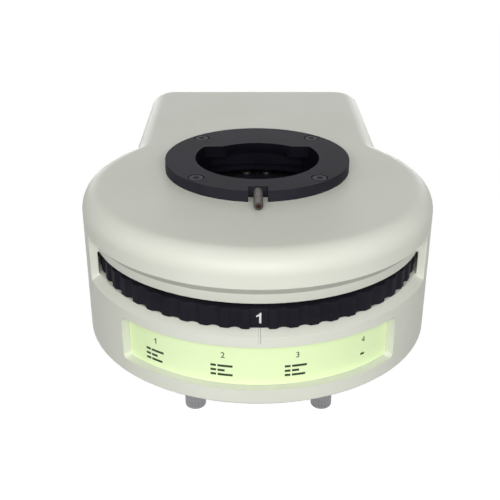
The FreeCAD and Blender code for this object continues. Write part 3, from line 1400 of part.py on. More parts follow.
def make_contact_pin(side):
    """Spring contact: a barrel in the block and a thinner tip that meets the lamp board's edge."""
    x = side * s.contact_step
    tip = cube_low - s.contact_gap
    barrel = cylinder(f"contact_barrel_{side}", s.contact_radius + 0.4, 5, x, contact_y, contact_top - 3)
    pin = cylinder(f"contact_tip_{side}", s.contact_radius, tip - contact_top, x, contact_y, contact_top)
    return fuse(f"contact_pin_{side}", barrel, pin)


group("contact_pins", [make_contact_pin(side) for side in (1, -1)])

board_low = plate_top + s.standoff_height
board_top = board_low + s.board_thickness
board_middle = s.board_ahead + s.board_width / 2
standoff_spots = [(x * (s.board_length / 2 - 5), board_middle + y * (s.board_width / 2 - 5))
                  for x in (1, -1) for y in (1, -1)]
STUD_RADIUS = 1.2


def make_driver_board():
    """Lamp driver on a circuit board: a coil, two capacitors, a driver chip and a plug."""
    board = box("driver_blank", s.board_length, s.board_width, s.board_thickness, 0, board_middle, board_low)
    holes = [cylinder(f"driver_hole_{k}", STUD_RADIUS + s.thread_gap, s.board_thickness + 2, x, y,
                      board_low - 1)
             for k, (x, y) in enumerate(standoff_spots)]
    plate = cut("driver_plate", board, *holes)
    coil = cylinder("driver_coil", 6, 5, -14, board_middle, board_top)
    can = cylinder("driver_capacitor", 4, 9, 2, board_middle + 8, board_top)
    second = cylinder("driver_second_capacitor", 4, 9, 12, board_middle + 8, board_top)
    chip = box("driver_chip", 8, 6, 1.6, 4, board_middle - 7, board_top)
    plug = box("driver_plug", 6, 12, 7, s.board_length * 0.35, board_middle - 4, board_top)
    keep(fuse("driver_board", plate, coil, can, second, chip, plug), "driver_board")


def make_standoff(k, x, y):
    """Snap-in board support with a stud through the board."""
    post = cylinder(f"standoff_post_{k}", s.standoff_radius, s.standoff_height, x, y, plate_top)
    stud = cylinder(f"standoff_stud_{k}", STUD_RADIUS, s.board_thickness + s.end_gap, x, y, board_low)
    tip = cone(f"standoff_tip_{k}", 1.5, 0.8, 1.4, x, y, board_top + s.end_gap)
    return fuse(f"standoff_{k}", post, stud, tip)


make_driver_board()
group("board_standoffs", [make_standoff(k, x, y) for k, (x, y) in enumerate(standoff_spots)])


def make_power_socket():
    """Round low-voltage socket with a centre pin, its flange on the rear face."""
    x = s.socket_across
    rear = s.block_reach
    flange = cylinder("socket_bezel", s.socket_flange, s.bezel_thickness, x, rear, panel_level, (0, 1, 0))
    barrel = cylinder("socket_barrel", s.socket_barrel, s.socket_depth + 0.5, x, rear - s.socket_depth,
                      panel_level,
                      (0, 1, 0))
    bore = cylinder("socket_bore", s.socket_bore, s.socket_depth + 2, x, rear - s.socket_depth + 2,
                    panel_level,
                    (0, 1, 0))
    pin = cylinder("socket_pin", s.socket_pin, s.socket_depth - 1, x, rear - s.socket_depth + 1, panel_level,
                   (0, 1, 0))
    shell = cut("socket_shell", fuse("socket_blank", flange, barrel), bore)
    keep(fuse("dc_socket", shell, pin), "dc_socket")


make_power_socket()
pivot_y = s.block_reach + s.bezel_thickness - 3


def make_switch():
    """Rocker switch: a frame through the rear wall and a button on two stubs."""
    depth = s.rocker_depth + s.bezel_thickness
    start = s.block_reach - s.rocker_depth
    shell = box("switch_shell", s.rocker_width, depth, s.rocker_height, 0, start, panel_level, centred="xz")
    bezel = box("switch_bezel", s.rocker_width + 2 * s.rocker_rim, s.bezel_thickness,
                s.rocker_height + 2 * s.rocker_rim, 0, s.block_reach, panel_level, centred="xz")
    well = box("switch_well", s.rocker_width - 2 * s.rocker_wall, depth, s.rocker_height - 2 * s.rocker_wall,
               0, start + s.rocker_wall, panel_level, centred="xz")
    pivots = cylinder("switch_pivots", 1 + s.thread_gap, s.rocker_width + 2, -(s.rocker_width / 2 + 1),
                      pivot_y,
                      panel_level, (1, 0, 0))
    keep(cut("rocker_frame", fuse("switch_blank", shell, bezel), well, pivots), "rocker_frame")
    body = new_body("rocker_button")
    swing = s.rocker_height / 2 - s.rocker_wall - s.rocker_gap
    face = as_size(3)
    rise = swing * 0.85
    lip = face + rise * sine(s.rocker_angle) / cosine(s.rocker_angle)
    back = -face
    back_reach = root(swing * swing - face * face)
    profile = sketch(body, "profile", "YZ_Plane")
    polygon(profile, [(back, -back_reach), (lip, -rise), (face, ZERO), (lip, rise), (back, back_reach)])
    block = pad(body, "block", profile, s.rocker_width - 2 * s.rocker_wall - 2 * s.rocker_gap)
    block.Midplane = True
    doc.recompute()
    stubs = sketch(body, "stub_profile", "YZ_Plane")
    circle(stubs, 1)
    stub = pad(body, "stubs", stubs, s.rocker_width - s.rocker_wall)
    stub.Midplane = True
    doc.recompute()
    body.Placement.Rotation = FreeCAD.Rotation(FreeCAD.Vector(1, 0, 0), 1)
    place(body, 0, pivot_y, panel_level)
    bind(body, Placement__Rotation__Angle=s.rocker_angle)


make_switch()


def make_dimmer():
    """Potentiometer behind the rear wall, its shaft through the bush, and a knurled knob."""
    x = -s.knob_across
    bush_end = s.block_reach + 0.6
    can_start = inner_face - s.dimmer_body_length
    can = cylinder("dimmer_can", s.dimmer_body_radius, s.dimmer_body_length, x, can_start, panel_level,
                   (0, 1, 0))
    bush = cylinder("dimmer_bush", s.dimmer_bush_radius, bush_end - inner_face + 1, x, inner_face - 1,
                    panel_level,
                    (0, 1, 0))
    shaft_start = inner_face - 3
    bore = cylinder("dimmer_bore", s.dimmer_shaft_radius + s.running_gap, 12, x, shaft_start - s.end_gap,
                    panel_level, (0, 1, 0))
    keep(cut("potentiometer", fuse("dimmer_blank", can, bush), bore), "potentiometer")
    knob_start = s.block_reach + s.knob_gap
    shaft_length = knob_start + s.knob_length - 3 - shaft_start
    shaft = cylinder("dimmer_shaft", s.dimmer_shaft_radius, shaft_length, x, shaft_start, panel_level,
                     (0, 1, 0))
    keep(shaft, "dimmer_shaft")
    body = new_body("dimmer_knob")
    profile = sketch(body, "profile", "XY_Plane")
    bore_radius = s.dimmer_shaft_radius + s.thread_gap
    polygon(profile, [
        (bore_radius, ZERO), (s.knob_radius, ZERO), (s.knob_radius, s.knob_length - 1),
        (s.knob_radius - 1, s.knob_length), (ZERO, s.knob_length),
        (ZERO, s.knob_length - 3 + s.end_gap), (bore_radius, s.knob_length - 3 + s.end_gap)])
    revolve(body, "turned", profile)
    knurl = sketch(body, "knurl_profile", "XZ_Plane", lift=-3)
    groove_outline(knurl, s.knob_radius, s.knurl_depth)
    groove = pocket(body, "knurl", knurl, s.knob_length)
    around(body, "knurls", [groove], s.knob_knurls, knurl)
    place(body, x, knob_start, panel_level)


make_dimmer()


def check_parts():
    """Stops the build when any object failed or a sub-part is empty or open."""
    doc.recompute()
    failed = [item.Name for item in doc.Objects if "Invalid" in item.State or "Error" in item.State]
    empty = [item.Label for item in parts if item.Shape.isNull() or not item.Shape.isValid()
             or not item.Shape.Solids]
    if failed or empty:
        raise RuntimeError(f"failed objects: {failed}; bad sub-parts: {empty}")


check_parts()
os.makedirs("parts", exist_ok=True)
for item in parts:
    item.Shape.exportStep(f"parts/{item.Label}.step")
print(f"{len(parts)} sub-parts exported")
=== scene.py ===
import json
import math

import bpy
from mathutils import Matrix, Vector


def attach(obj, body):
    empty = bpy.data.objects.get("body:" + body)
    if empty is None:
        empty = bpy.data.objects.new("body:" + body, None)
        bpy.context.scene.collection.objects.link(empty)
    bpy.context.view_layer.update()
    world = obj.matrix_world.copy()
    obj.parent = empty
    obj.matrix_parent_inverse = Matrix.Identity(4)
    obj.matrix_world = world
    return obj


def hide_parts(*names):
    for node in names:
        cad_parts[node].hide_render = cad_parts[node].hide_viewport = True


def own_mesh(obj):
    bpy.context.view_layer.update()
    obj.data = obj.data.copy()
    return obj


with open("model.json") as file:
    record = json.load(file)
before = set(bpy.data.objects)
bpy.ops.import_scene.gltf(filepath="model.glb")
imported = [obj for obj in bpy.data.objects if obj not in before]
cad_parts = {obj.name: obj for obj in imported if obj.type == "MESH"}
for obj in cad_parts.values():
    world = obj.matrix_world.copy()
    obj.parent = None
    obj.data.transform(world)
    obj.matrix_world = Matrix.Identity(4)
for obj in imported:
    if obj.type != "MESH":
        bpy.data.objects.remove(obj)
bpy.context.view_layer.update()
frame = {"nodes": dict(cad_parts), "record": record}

# %% [markdown]
# This file dresses the solids of a fluorescence module, the round-fronted box that goes between a
# microscope's arm and its head. The solids are in metres, with the optical axis on Z and the finger wheel
# towards -Y. Named sizes are in millimetres and angles in degrees, apart from the studio's floor and lamps,
# which are in metres.

MM = 0.001
NODES = frame["nodes"]
BODY_OF = {node: body for body, nodes in frame["record"]["behaviour"]["bodies"].items() for node in nodes}
SLOT_OF = {row["node"]: row["material_slot"] for row in frame["record"]["subparts"]}

# %% [markdown]
# A surface never has one flat colour. Paint has a fine orange peel, anodised metal has a dry grain, and
# handling and age make the colour drift a little. These effects are used by many materials, so each is a
# node group. A group only gives out colours, masks and normals, and the shader stays in the material.

# %% Node groups: grain, cloudy colour and brushing


def new_group(name, inputs, outputs):
    """Shader node group with its sockets; inputs are (name, kind, value)."""
    group = bpy.data.node_groups.new(name, "ShaderNodeTree")
    for label, kind, value in inputs:
        socket = group.interface.new_socket(name=label, in_out="INPUT", socket_type=kind)
        socket.default_value = value
    for label, kind in outputs:
        group.interface.new_socket(name=label, in_out="OUTPUT", socket_type=kind)
    return group, group.nodes.new("NodeGroupInput"), group.nodes.new("NodeGroupOutput")


def object_coordinates(group, stretch=(1, 1, 1)):
    """Object coordinates, stretched for grain that runs one way."""
    coordinates = group.nodes.new("ShaderNodeTexCoord")
    mapping = group.nodes.new("ShaderNodeMapping")
    mapping.inputs["Scale"].default_value = stretch
    group.links.new(coordinates.outputs["Object"], mapping.inputs["Vector"])
    return mapping.outputs["Vector"]


def make_grain_group():
    """Fine unevenness: a normal for the light and a mask for the gloss."""
    group, start, end = new_group(
        "fine_grain",
        [("Scale", "NodeSocketFloat", 900.0), ("Depth", "NodeSocketFloat", 0.00002),
         ("Low Gloss", "NodeSocketFloat", 0.4), ("High Gloss", "NodeSocketFloat", 0.5)],
        [("Normal", "NodeSocketVector"), ("Roughness", "NodeSocketFloat")])
    noise = group.nodes.new("ShaderNodeTexNoise")
    noise.inputs["Detail"].default_value = 3.0
    bump = group.nodes.new("ShaderNodeBump")
    bump.inputs["Strength"].default_value = 0.6
    spread = group.nodes.new("ShaderNodeMapRange")
    spread.inputs["From Min"].default_value = 0.3
    spread.inputs["From Max"].default_value = 0.7
    group.links.new(object_coordinates(group), noise.inputs["Vector"])
    group.links.new(start.outputs["Scale"], noise.inputs["Scale"])
    group.links.new(noise.outputs["Fac"], bump.inputs["Height"])
    group.links.new(start.outputs["Depth"], bump.inputs["Distance"])
    group.links.new(noise.outputs["Fac"], spread.inputs["Value"])
    group.links.new(start.outputs["Low Gloss"], spread.inputs["To Min"])
    group.links.new(start.outputs["High Gloss"], spread.inputs["To Max"])
    group.links.new(bump.outputs["Normal"], end.inputs["Normal"])
    group.links.new(spread.outputs["Result"], end.inputs["Roughness"])
    return group


def make_cloud_group(name, stretch=(1, 1, 1)):
    """Slow drift from one colour to another, as handling and age give."""
    group, start, end = new_group(
        name,
        [("Scale", "NodeSocketFloat", 30.0), ("Color", "NodeSocketColor", (0.5, 0.5, 0.5, 1)),
         ("Worn Color", "NodeSocketColor", (0.6, 0.6, 0.6, 1))],
        [("Color", "NodeSocketColor")])
    noise = group.nodes.new("ShaderNodeTexNoise")
    noise.inputs["Detail"].default_value = 5.0
    spread = group.nodes.new("ShaderNodeMapRange")
    spread.inputs["From Min"].default_value = 0.35
    spread.inputs["From Max"].default_value = 0.7
    mix = group.nodes.new("ShaderNodeMix")
    mix.data_type = "RGBA"
    group.links.new(object_coordinates(group, stretch), noise.inputs["Vector"])
    group.links.new(start.outputs["Scale"], noise.inputs["Scale"])
    group.links.new(noise.outputs["Fac"], spread.inputs["Value"])
    group.links.new(spread.outputs["Result"], mix.inputs["Factor"])
    group.links.new(start.outputs["Color"], mix.inputs["A"])
    group.links.new(start.outputs["Worn Color"], mix.inputs["B"])
    group.links.new(mix.outputs["Result"], end.inputs["Color"])
    return group


GRAIN = make_grain_group()
CLOUDS = make_cloud_group("cloudy_colour")
TURNED = make_cloud_group("turned_marks", stretch=(0.05, 0.05, 1.0))
print("groups:", [group.name for group in bpy.data.node_groups])

# %% [markdown]
# Every finish on the object is a Principled shader that takes its colour from the cloud group and its
# gloss and normal from the grain group. Colours are written as they look on a screen, from 0 to 255,
# and a helper turns them into the linear values that the shader needs. Each finish drifts between a
# colour and a worn one, and its gloss between two roughness values. Grain and cloud are how many times
# the noise repeats in a metre.

# %% Finishes


def screen_colour(red, green, blue):
    """Linear colour from a screen colour of 0 to 255."""
    def linear(level):
        level = level / 255
        return level / 12.92 if level <= 0.04045 else ((level + 0.055) / 1.055) ** 2.4
    return (linear(red), linear(green), linear(blue), 1.0)


def finish(name, colour, worn, gloss, grain, depth, cloud, metal=0.0, turned=False, clear=0.0, shine=0.5):
    """Material with drifting colour, uneven gloss and a fine grain; depth in millimetres."""
    material = bpy.data.materials.new(name)
    material.use_nodes = True
    nodes = material.node_tree.nodes
    links = material.node_tree.links
    shader = nodes["Principled BSDF"]
    shader.inputs["Metallic"].default_value = metal
    shader.inputs["Specular IOR Level"].default_value = shine
    shader.inputs["Transmission Weight"].default_value = clear
    colour_node = nodes.new("ShaderNodeGroup")
    colour_node.node_tree = TURNED if turned else CLOUDS
    colour_node.inputs["Scale"].default_value = cloud
    colour_node.inputs["Color"].default_value = screen_colour(*colour)
    colour_node.inputs["Worn Color"].default_value = screen_colour(*worn)
    grain_node = nodes.new("ShaderNodeGroup")
    grain_node.node_tree = GRAIN
    grain_node.inputs["Scale"].default_value = grain
    grain_node.inputs["Depth"].default_value = depth * MM
    grain_node.inputs["Low Gloss"].default_value = gloss[0]
    grain_node.inputs["High Gloss"].default_value = gloss[1]
    links.new(colour_node.outputs["Color"], shader.inputs["Base Color"])
    links.new(grain_node.outputs["Roughness"], shader.inputs["Roughness"])
    links.new(grain_node.outputs["Normal"], shader.inputs["Normal"])
    return material


FINISH_SETTINGS = {
    "pale_paint": dict(colour=(216, 218, 207), worn=(211, 213, 201), gloss=(0.42, 0.55),
                       grain=1400, depth=0.012, cloud=18, shine=0.4),
    "base_paint": dict(colour=(213, 215, 204), worn=(205, 207, 195), gloss=(0.45, 0.6),
                       grain=1400, depth=0.012, cloud=18, shine=0.4),
    "black_anodised": dict(colour=(36, 35, 41), worn=(42, 41, 48), gloss=(0.52, 0.65),
                           grain=2200, depth=0.006, cloud=50, shine=0.05),
    "black_plastic": dict(colour=(28, 27, 33), worn=(35, 34, 41), gloss=(0.42, 0.58),
                          grain=1800, depth=0.012, cloud=60, shine=0.03),
    "label_green": dict(colour=(229, 247, 198), worn=(225, 244, 190), gloss=(0.4, 0.5),
                        grain=900, depth=0.004, cloud=25, shine=0.25),
    "turned_aluminium": dict(colour=(186, 187, 190), worn=(166, 167, 170), gloss=(0.28, 0.42),
                             grain=2500, depth=0.004, cloud=600, metal=0.9, turned=True),
    "plain_steel": dict(colour=(143, 143, 145), worn=(122, 122, 125), gloss=(0.3, 0.45),
                        grain=2500, depth=0.005, cloud=500, metal=0.85, turned=True),
    "black_steel": dict(colour=(43, 42, 49), worn=(53, 52, 59), gloss=(0.42, 0.55),
                        grain=2500, depth=0.004, cloud=300, shine=0.06),
    "spring_steel": dict(colour=(160, 160, 163), worn=(140, 140, 143), gloss=(0.25, 0.35),
                         grain=3000, depth=0.002, cloud=400, metal=0.9),
    "brass_sleeve": dict(colour=(196, 160, 84), worn=(170, 134, 66), gloss=(0.3, 0.45),
                         grain=2500, depth=0.004, cloud=300, metal=0.9, turned=True),
    "exciter_glass": dict(colour=(120, 112, 216), worn=(108, 100, 206), gloss=(0.03, 0.06),
                          grain=500, depth=0.0005, cloud=80, clear=0.9),
    "emission_glass": dict(colour=(122, 190, 122), worn=(110, 180, 112), gloss=(0.03, 0.06),
                           grain=500, depth=0.0005, cloud=80, clear=0.9),
    "lens_glass": dict(colour=(236, 244, 246), worn=(230, 240, 243), gloss=(0.02, 0.04),
                       grain=500, depth=0.0005, cloud=80, clear=0.96),
    "dichroic_coat": dict(colour=(196, 184, 226), worn=(176, 196, 222), gloss=(0.04, 0.08),
                          grain=500, depth=0.0005, cloud=40, metal=0.7),
    "lamp_board": dict(colour=(232, 232, 226), worn=(224, 224, 216), gloss=(0.4, 0.5),
                       grain=1500, depth=0.004, cloud=90),
    "circuit_board": dict(colour=(28, 92, 52), worn=(22, 80, 44), gloss=(0.3, 0.42),
                          grain=1500, depth=0.008, cloud=120),
    "nylon": dict(colour=(226, 223, 208), worn=(216, 212, 196), gloss=(0.45, 0.6),
                  grain=1500, depth=0.006, cloud=90),
    "contact_brass": dict(colour=(212, 176, 96), worn=(196, 158, 80), gloss=(0.2, 0.32),
                          grain=2500, depth=0.002, cloud=400, metal=0.95),
}
FINISHES = {name: finish(name, **settings) for name, settings in FINISH_SETTINGS.items()}
print("finishes:", len(FINISHES))

# %% [markdown]
# The solids arrive as loose triangles, so light would show every facet. Each one is copied, its
# doubled points are merged, flat areas are joined again, and a narrow bevel takes the sharpness off
# its edges, as a tumbled or painted part has. The copy then stands for the solid. A bevel without the
# overlap clamp keeps its full width beside tiny faces, but it can throw a corner out of place, so a
# piece whose outer box grows gets the clamped bevel instead, or none if that grows it as well. The
# softness is the bevel's width, and an edge is sharp from the angle that SHARP_FROM gives.

# %% Copies of the solids with merged points, soft edges and smooth shading
OVERSHOOT = 0.02
MERGE_DISTANCE = 0.002
FLAT_ANGLE = 0.4
USUAL_SHARP_ANGLE = 35.0
USUAL_SOFTNESS = 0.1


def select_only(piece):
    """Makes the piece the selected and active one."""
    bpy.ops.object.select_all(action="DESELECT")
    piece.select_set(True)
    bpy.context.view_layer.objects.active = piece


def apply_modifier(piece, kind, **settings):
    """Adds a modifier with these settings and applies it."""
    select_only(piece)
    modifier = piece.modifiers.new(kind.lower(), kind)
    for name, value in settings.items():
        setattr(modifier, name, value)
    bpy.ops.object.modifier_apply(modifier=modifier.name)


def merge_and_join(piece):
    """Merges doubled points and joins the triangles of flat areas."""
    select_only(piece)
    bpy.ops.object.mode_set(mode="EDIT")
    bpy.ops.mesh.select_all(action="SELECT")
    bpy.ops.mesh.remove_doubles(threshold=MERGE_DISTANCE * MM)
    bpy.ops.mesh.dissolve_limited(angle_limit=math.radians(FLAT_ANGLE))
    bpy.ops.object.mode_set(mode="OBJECT")


def face_outwards(piece):
    """Turns every face of a piece outwards."""
    select_only(piece)
    bpy.ops.object.mode_set(mode="EDIT")
    bpy.ops.mesh.select_all(action="SELECT")
    bpy.ops.mesh.normals_make_consistent(inside=False)
    bpy.ops.object.mode_set(mode="OBJECT")


def outer_box(mesh):
    """Lowest and highest value on each axis."""
    return [edge(point.co[axis] for point in mesh.vertices) for axis in range(3) for edge in (min, max)]


def soften(piece, width, angle):
    """Bevels the edges that are sharper than the angle and shades the rest smoothly."""
    if width > 0:
        untouched = piece.data.copy()
        for clamp in (False, True):
            apply_modifier(piece, "BEVEL", width=width * MM, segments=2, limit_method="ANGLE",
                           angle_limit=math.radians(angle), use_clamp_overlap=clamp, harden_normals=False)
            grown = max(abs(new - old) for new, old in zip(outer_box(piece.data), outer_box(untouched)))
            if grown < OVERSHOOT * MM:
                break
            piece.data = untouched.copy()
    select_only(piece)
    bpy.ops.object.shade_smooth_by_angle(angle=math.radians(angle))
    apply_modifier(piece, "WEIGHTED_NORMAL", keep_sharp=True, weight=60)


def wear(piece, node, material):
    """Gives the piece its material, and the body and the slot of the solid that it stands for."""
    piece.data.materials.clear()
    piece.data.materials.append(material)
    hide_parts(node)
    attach(piece, BODY_OF[node])


def dress(node, softness, sharp_angle):
    """Smooth copy of a solid, with its edges softened by that many millimetres."""
    piece = bpy.data.objects.new(node + "_piece", NODES[node].data.copy())
    bpy.context.scene.collection.objects.link(piece)
    merge_and_join(piece)
    soften(piece, softness, sharp_angle)
    wear(piece, node, FINISHES[SLOT_OF[node]])
    return piece


EDGE_SOFTNESS = {
    "housing": 0.4, "head_ring": 0.25, "turret_wheel": 0.35, "label_strip": 0.0, "base_plate": 0.2,
    "access_cover": 0.25, "lower_dovetail": 0.2, "thumb_screw_left": 0.12, "thumb_screw_right": 0.12,
    "dimmer_knob": 0.15, "rocker_frame": 0.3, "rocker_button": 0.3, "dc_socket": 0.2,
    "head_ring_screws": 0.15, "module_screws": 0.15, "wheel_screws": 0.15,
    "detent_ball": 0.0, "detent_spring": 0.0,
}
SHARP_FROM = {"detent_spring": 80.0, "housing": 20.0}
MADE_LATER = ("clamp_screw",)
PIECES = {node: dress(node, EDGE_SOFTNESS.get(node, USUAL_SOFTNESS),
                      SHARP_FROM.get(node, USUAL_SHARP_ANGLE))
          for node in NODES if node not in MADE_LATER}
print("dressed:", len(PIECES))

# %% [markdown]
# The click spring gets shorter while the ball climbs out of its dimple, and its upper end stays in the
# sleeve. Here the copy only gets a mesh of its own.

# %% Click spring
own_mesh(PIECES["detent_spring"])

# %% [markdown]
# Stray light would fog the picture, so the casting's hollow is painted matt black. The socket for the head
# is the same anodised metal as the ring's top, and its near-black is painted shade. The faces that lie
# wholly inside get that dark colour as a second material, and the finish outside stays. The sinkings around
# the ring's screws get the same painted shade, since no light reaches their floor.

# %% Dark insides: black paint in the hollow, painted shade in the socket
# Black paint for the casting's hollow, and painted shade for the ring's socket and its sinkings.
BLACK_PAINT_AND_PAINTED_SHADE = finish("black_paint_and_painted_shade", (13, 12, 18), (18, 17, 24), (0.4, 0.55), grain=1800, depth=0.008,
                      cloud=60, shine=0.03)
HOUSING_Y = -15.0
HOLLOW_RADIUS = 72.9
HOLLOW_HALF_WIDTH = 59.0
HOLLOW_REAR = 133.0
HOLLOW_CORNER = 12.5
HOLLOW_LEVELS = (8.5, 70.5)
SOCKET_RADIUS = 29.4
RING_TOP = 79.0
RING_SCREW_ACROSS = 26.6
SINKING_RADIUS = 3.7
FACE_MARGIN = 0.01


def in_hollow(place):
    """Whether a place, in millimetres, is inside the casting's walls."""
    in_round = math.hypot(place.x, place.y - HOUSING_Y) < HOLLOW_RADIUS
    in_block = abs(place.x) < HOLLOW_HALF_WIDTH and HOUSING_Y < place.y < HOLLOW_REAR
    beyond_x = abs(place.x) - (HOLLOW_HALF_WIDTH - HOLLOW_CORNER)
    beyond_y = place.y - (HOLLOW_REAR - HOLLOW_CORNER)
    if beyond_x > 0 and beyond_y > 0:
        in_block = math.hypot(beyond_x, beyond_y) < HOLLOW_CORNER
    return (in_round or in_block) and HOLLOW_LEVELS[0] < place.z < HOLLOW_LEVELS[1]


def in_socket(place):
    """Whether a place is in the socket, or in one of the four sinkings around it, where shade is painted.
    """
    in_round = math.hypot(place.x, place.y) < SOCKET_RADIUS
    from_screw = math.hypot(abs(place.x) - RING_SCREW_ACROSS, abs(place.y) - RING_SCREW_ACROSS)
    return (in_round or from_screw < SINKING_RADIUS) and place.z < RING_TOP + FACE_MARGIN


def paint_faces(piece, material, is_inside):
    """Second material on the faces whose corners all pass the test."""
    piece.data.materials.append(material)
    places = [point.co / MM for point in piece.data.vertices]
    inside = [face for face in piece.data.polygons
              if all(is_inside(places[corner]) for corner in face.vertices)]
    for face in inside:
        face.material_index = len(piece.data.materials) - 1
    return len(inside)


# The hollow gets black paint, and the socket and sinkings get painted shade.
print("faces in the hollow:", paint_faces(PIECES["housing"], BLACK_PAINT_AND_PAINTED_SHADE, in_hollow))
print("faces in the socket:", paint_faces(PIECES["head_ring"], BLACK_PAINT_AND_PAINTED_SHADE, in_socket))

# %% [markdown]
# The clamp screw has a real thread. Its outline, a thread's root, flank, crest, flank and root, is spun
# up with a screw modifier. Each of its points says whether it is on the crest, and at what share of
# the pitch it lies. The ends are cut square and closed, and what lies inside a blank with rounded
# ends is kept. A six-sided bar then cuts the socket for the key.

# %% Clamp screw with its thread
CLAMP_RADIUS = 2.0
CLAMP_PITCH = 0.7
CLAMP_DEPTH = 0.42
CLAMP_START = -29.3
CLAMP_LENGTH = 22.2
CLAMP_LEVEL = 76.25
CLAMP_SIDES = 28
BLANK_INSET = 0.02
BLANK_ROUNDING = 0.4
BLANK_SHARP_ANGLE = 50.0
SPARE_TURNS = 3
THREAD_MERGE = 0.001
THREAD_SHARP_ANGLE = 30.0
THREAD_OUTLINE = ((0, 0.0), (0, 0.12), (1, 0.42), (1, 0.58), (0, 0.88), (0, 1.0))
KEY_RADIUS = 1.15
KEY_DEPTH = 2.5
KEY_OVERRUN = 1.0
CLAMP_STEEL = finish("clamp_steel", (80, 76, 75), (60, 56, 55), (0.4, 0.55), grain=2500, depth=0.004,
                     cloud=300, metal=0.2, shine=0.3)
KEY_BROWN = finish("key_brown", (92, 66, 52), (70, 48, 38), (0.4, 0.55), grain=2500, depth=0.004, cloud=400,
                   shine=0.2)


def combine(piece, other, operation):
    """Boolean of two closed pieces; the second one is used up."""
    apply_modifier(piece, "BOOLEAN", object=other, operation=operation, solver="EXACT")
    bpy.data.objects.remove(other, do_unlink=True)


def rod(name, radius, low, high, sides, rounding=0.0):
    """Upright bar in millimetres, from low to high on Z."""
    bpy.ops.object.select_all(action="DESELECT")
    bpy.ops.mesh.primitive_cylinder_add(vertices=sides, radius=radius, depth=high - low)
    bar = bpy.context.object
    bar.name = name
    bpy.ops.object.mode_set(mode="EDIT")
    bpy.ops.transform.translate(value=(0, 0, (low + high) / 2))
    bpy.ops.object.mode_set(mode="OBJECT")
    if rounding:
        apply_modifier(bar, "BEVEL", width=rounding, segments=3, limit_method="ANGLE",
                       angle_limit=math.radians(BLANK_SHARP_ANGLE))
    return bar


def thread_outline(name, radius, depth, pitch):
    """A thread's outline beside the axis: an open ring of edges, without the one that closes it."""
    bpy.ops.object.select_all(action="DESELECT")
    bpy.ops.mesh.primitive_circle_add(vertices=len(THREAD_OUTLINE), radius=radius)
    turn = bpy.context.object
    turn.name = name
    for point, (crest, rise) in zip(turn.data.vertices, THREAD_OUTLINE):
        point.co = (radius if crest else radius - depth, 0, rise * pitch)
    for edge in turn.data.edges:
        edge.select = abs(edge.vertices[0] - edge.vertices[1]) == len(THREAD_OUTLINE) - 1
    for point in turn.data.vertices:
        point.select = False
    bpy.ops.object.mode_set(mode="EDIT")
    bpy.ops.mesh.select_mode(type="EDGE")
    bpy.ops.mesh.delete(type="EDGE_FACE")
    bpy.ops.mesh.select_mode(type="VERT")
    bpy.ops.object.mode_set(mode="OBJECT")
    return turn


def threaded_rod(name, radius, depth, pitch, length):
    """Closed upright rod with a thread, from 0 to length on Z."""
    turn = thread_outline(name, radius, depth, pitch)
    turns = math.ceil(length / pitch) + SPARE_TURNS
    apply_modifier(turn, "SCREW", axis="Z", angle=math.tau, screw_offset=pitch, iterations=turns,
                   steps=CLAMP_SIDES, render_steps=CLAMP_SIDES, use_merge_vertices=True,
                   merge_threshold=THREAD_MERGE)
    select_only(turn)
    bpy.ops.object.mode_set(mode="EDIT")
    bpy.ops.mesh.select_all(action="SELECT")
    bpy.ops.mesh.remove_doubles(threshold=THREAD_MERGE)
    bpy.ops.transform.translate(value=(0, 0, -SPARE_TURNS / 2 * pitch))
    bpy.ops.mesh.bisect(plane_co=(0, 0, 0), plane_no=(0, 0, 1), use_fill=True, clear_inner=True)
    bpy.ops.mesh.select_all(action="SELECT")
    bpy.ops.mesh.bisect(plane_co=(0, 0, length), plane_no=(0, 0, 1), use_fill=True, clear_outer=True)
    bpy.ops.object.mode_set(mode="OBJECT")
    face_outwards(turn)
    return turn


clamp = threaded_rod("clamp_screw_piece", CLAMP_RADIUS, CLAMP_DEPTH, CLAMP_PITCH, CLAMP_LENGTH)
blank = rod("clamp_blank", CLAMP_RADIUS - BLANK_INSET, 0.0, CLAMP_LENGTH, CLAMP_SIDES, BLANK_ROUNDING)
combine(clamp, blank, "INTERSECT")
key_bar = rod("clamp_key", KEY_RADIUS, CLAMP_LENGTH - KEY_DEPTH, CLAMP_LENGTH + KEY_OVERRUN, 6)
combine(clamp, key_bar, "DIFFERENCE")
for point in clamp.data.vertices:
    x, y, z = point.co
    point.co = Vector((x, CLAMP_START - z, CLAMP_LEVEL + y)) * MM
face_outwards(clamp)
bpy.ops.object.shade_smooth_by_angle(angle=math.radians(THREAD_SHARP_ANGLE))
wear(clamp, "clamp_screw", CLAMP_STEEL)


def in_key_socket(place):
    """Whether a place is in the clamp screw's socket for the key."""
    across = math.hypot(place.x, place.z - CLAMP_LEVEL)
    deepest = CLAMP_START - CLAMP_LENGTH + KEY_DEPTH
    return across < KEY_RADIUS + FACE_MARGIN and place.y < deepest + FACE_MARGIN


print("clamp screw's faces:", len(clamp.data.polygons), "in the key socket:",
      paint_faces(clamp, KEY_BROWN, in_key_socket))

# %% [markdown]
# The wheel carries the numbers 1 to 4 in white, one on each flat seat, and the label repeats them in
# black with short printed rows below. Each figure is drawn flat at the origin, facing up, and is then
# wrapped onto its place: left and right become an angle round the axle or the housing, up becomes
# height, and thickness points outwards. It is a few hundredths of a millimetre thick, like printed ink.

# %% Inks, sizes of the prints, and the wrap onto a round wall
WHITE_INK = finish("white_ink", (218, 218, 218), (208, 208, 208), (0.4, 0.5), grain=1500, depth=0.003,
                   cloud=200)
BLACK_INK = finish("black_ink", (42, 50, 34), (58, 66, 46), (0.45, 0.55), grain=1500, depth=0.003,
                   cloud=200, shine=0.2)
TURRET_Y = -20.5
HOUSING_RADIUS = 77.5
WHEEL_SEAT = 69.1
WHEEL_LEVEL = 46.1
WINDOW_DEPTH = 4.2
GLUE_GAP = 0.05
STRIP_THICKNESS = 0.5
LABEL_FACE = HOUSING_RADIUS - WINDOW_DEPTH + GLUE_GAP + STRIP_THICKNESS
INK_THICKNESS = 0.04


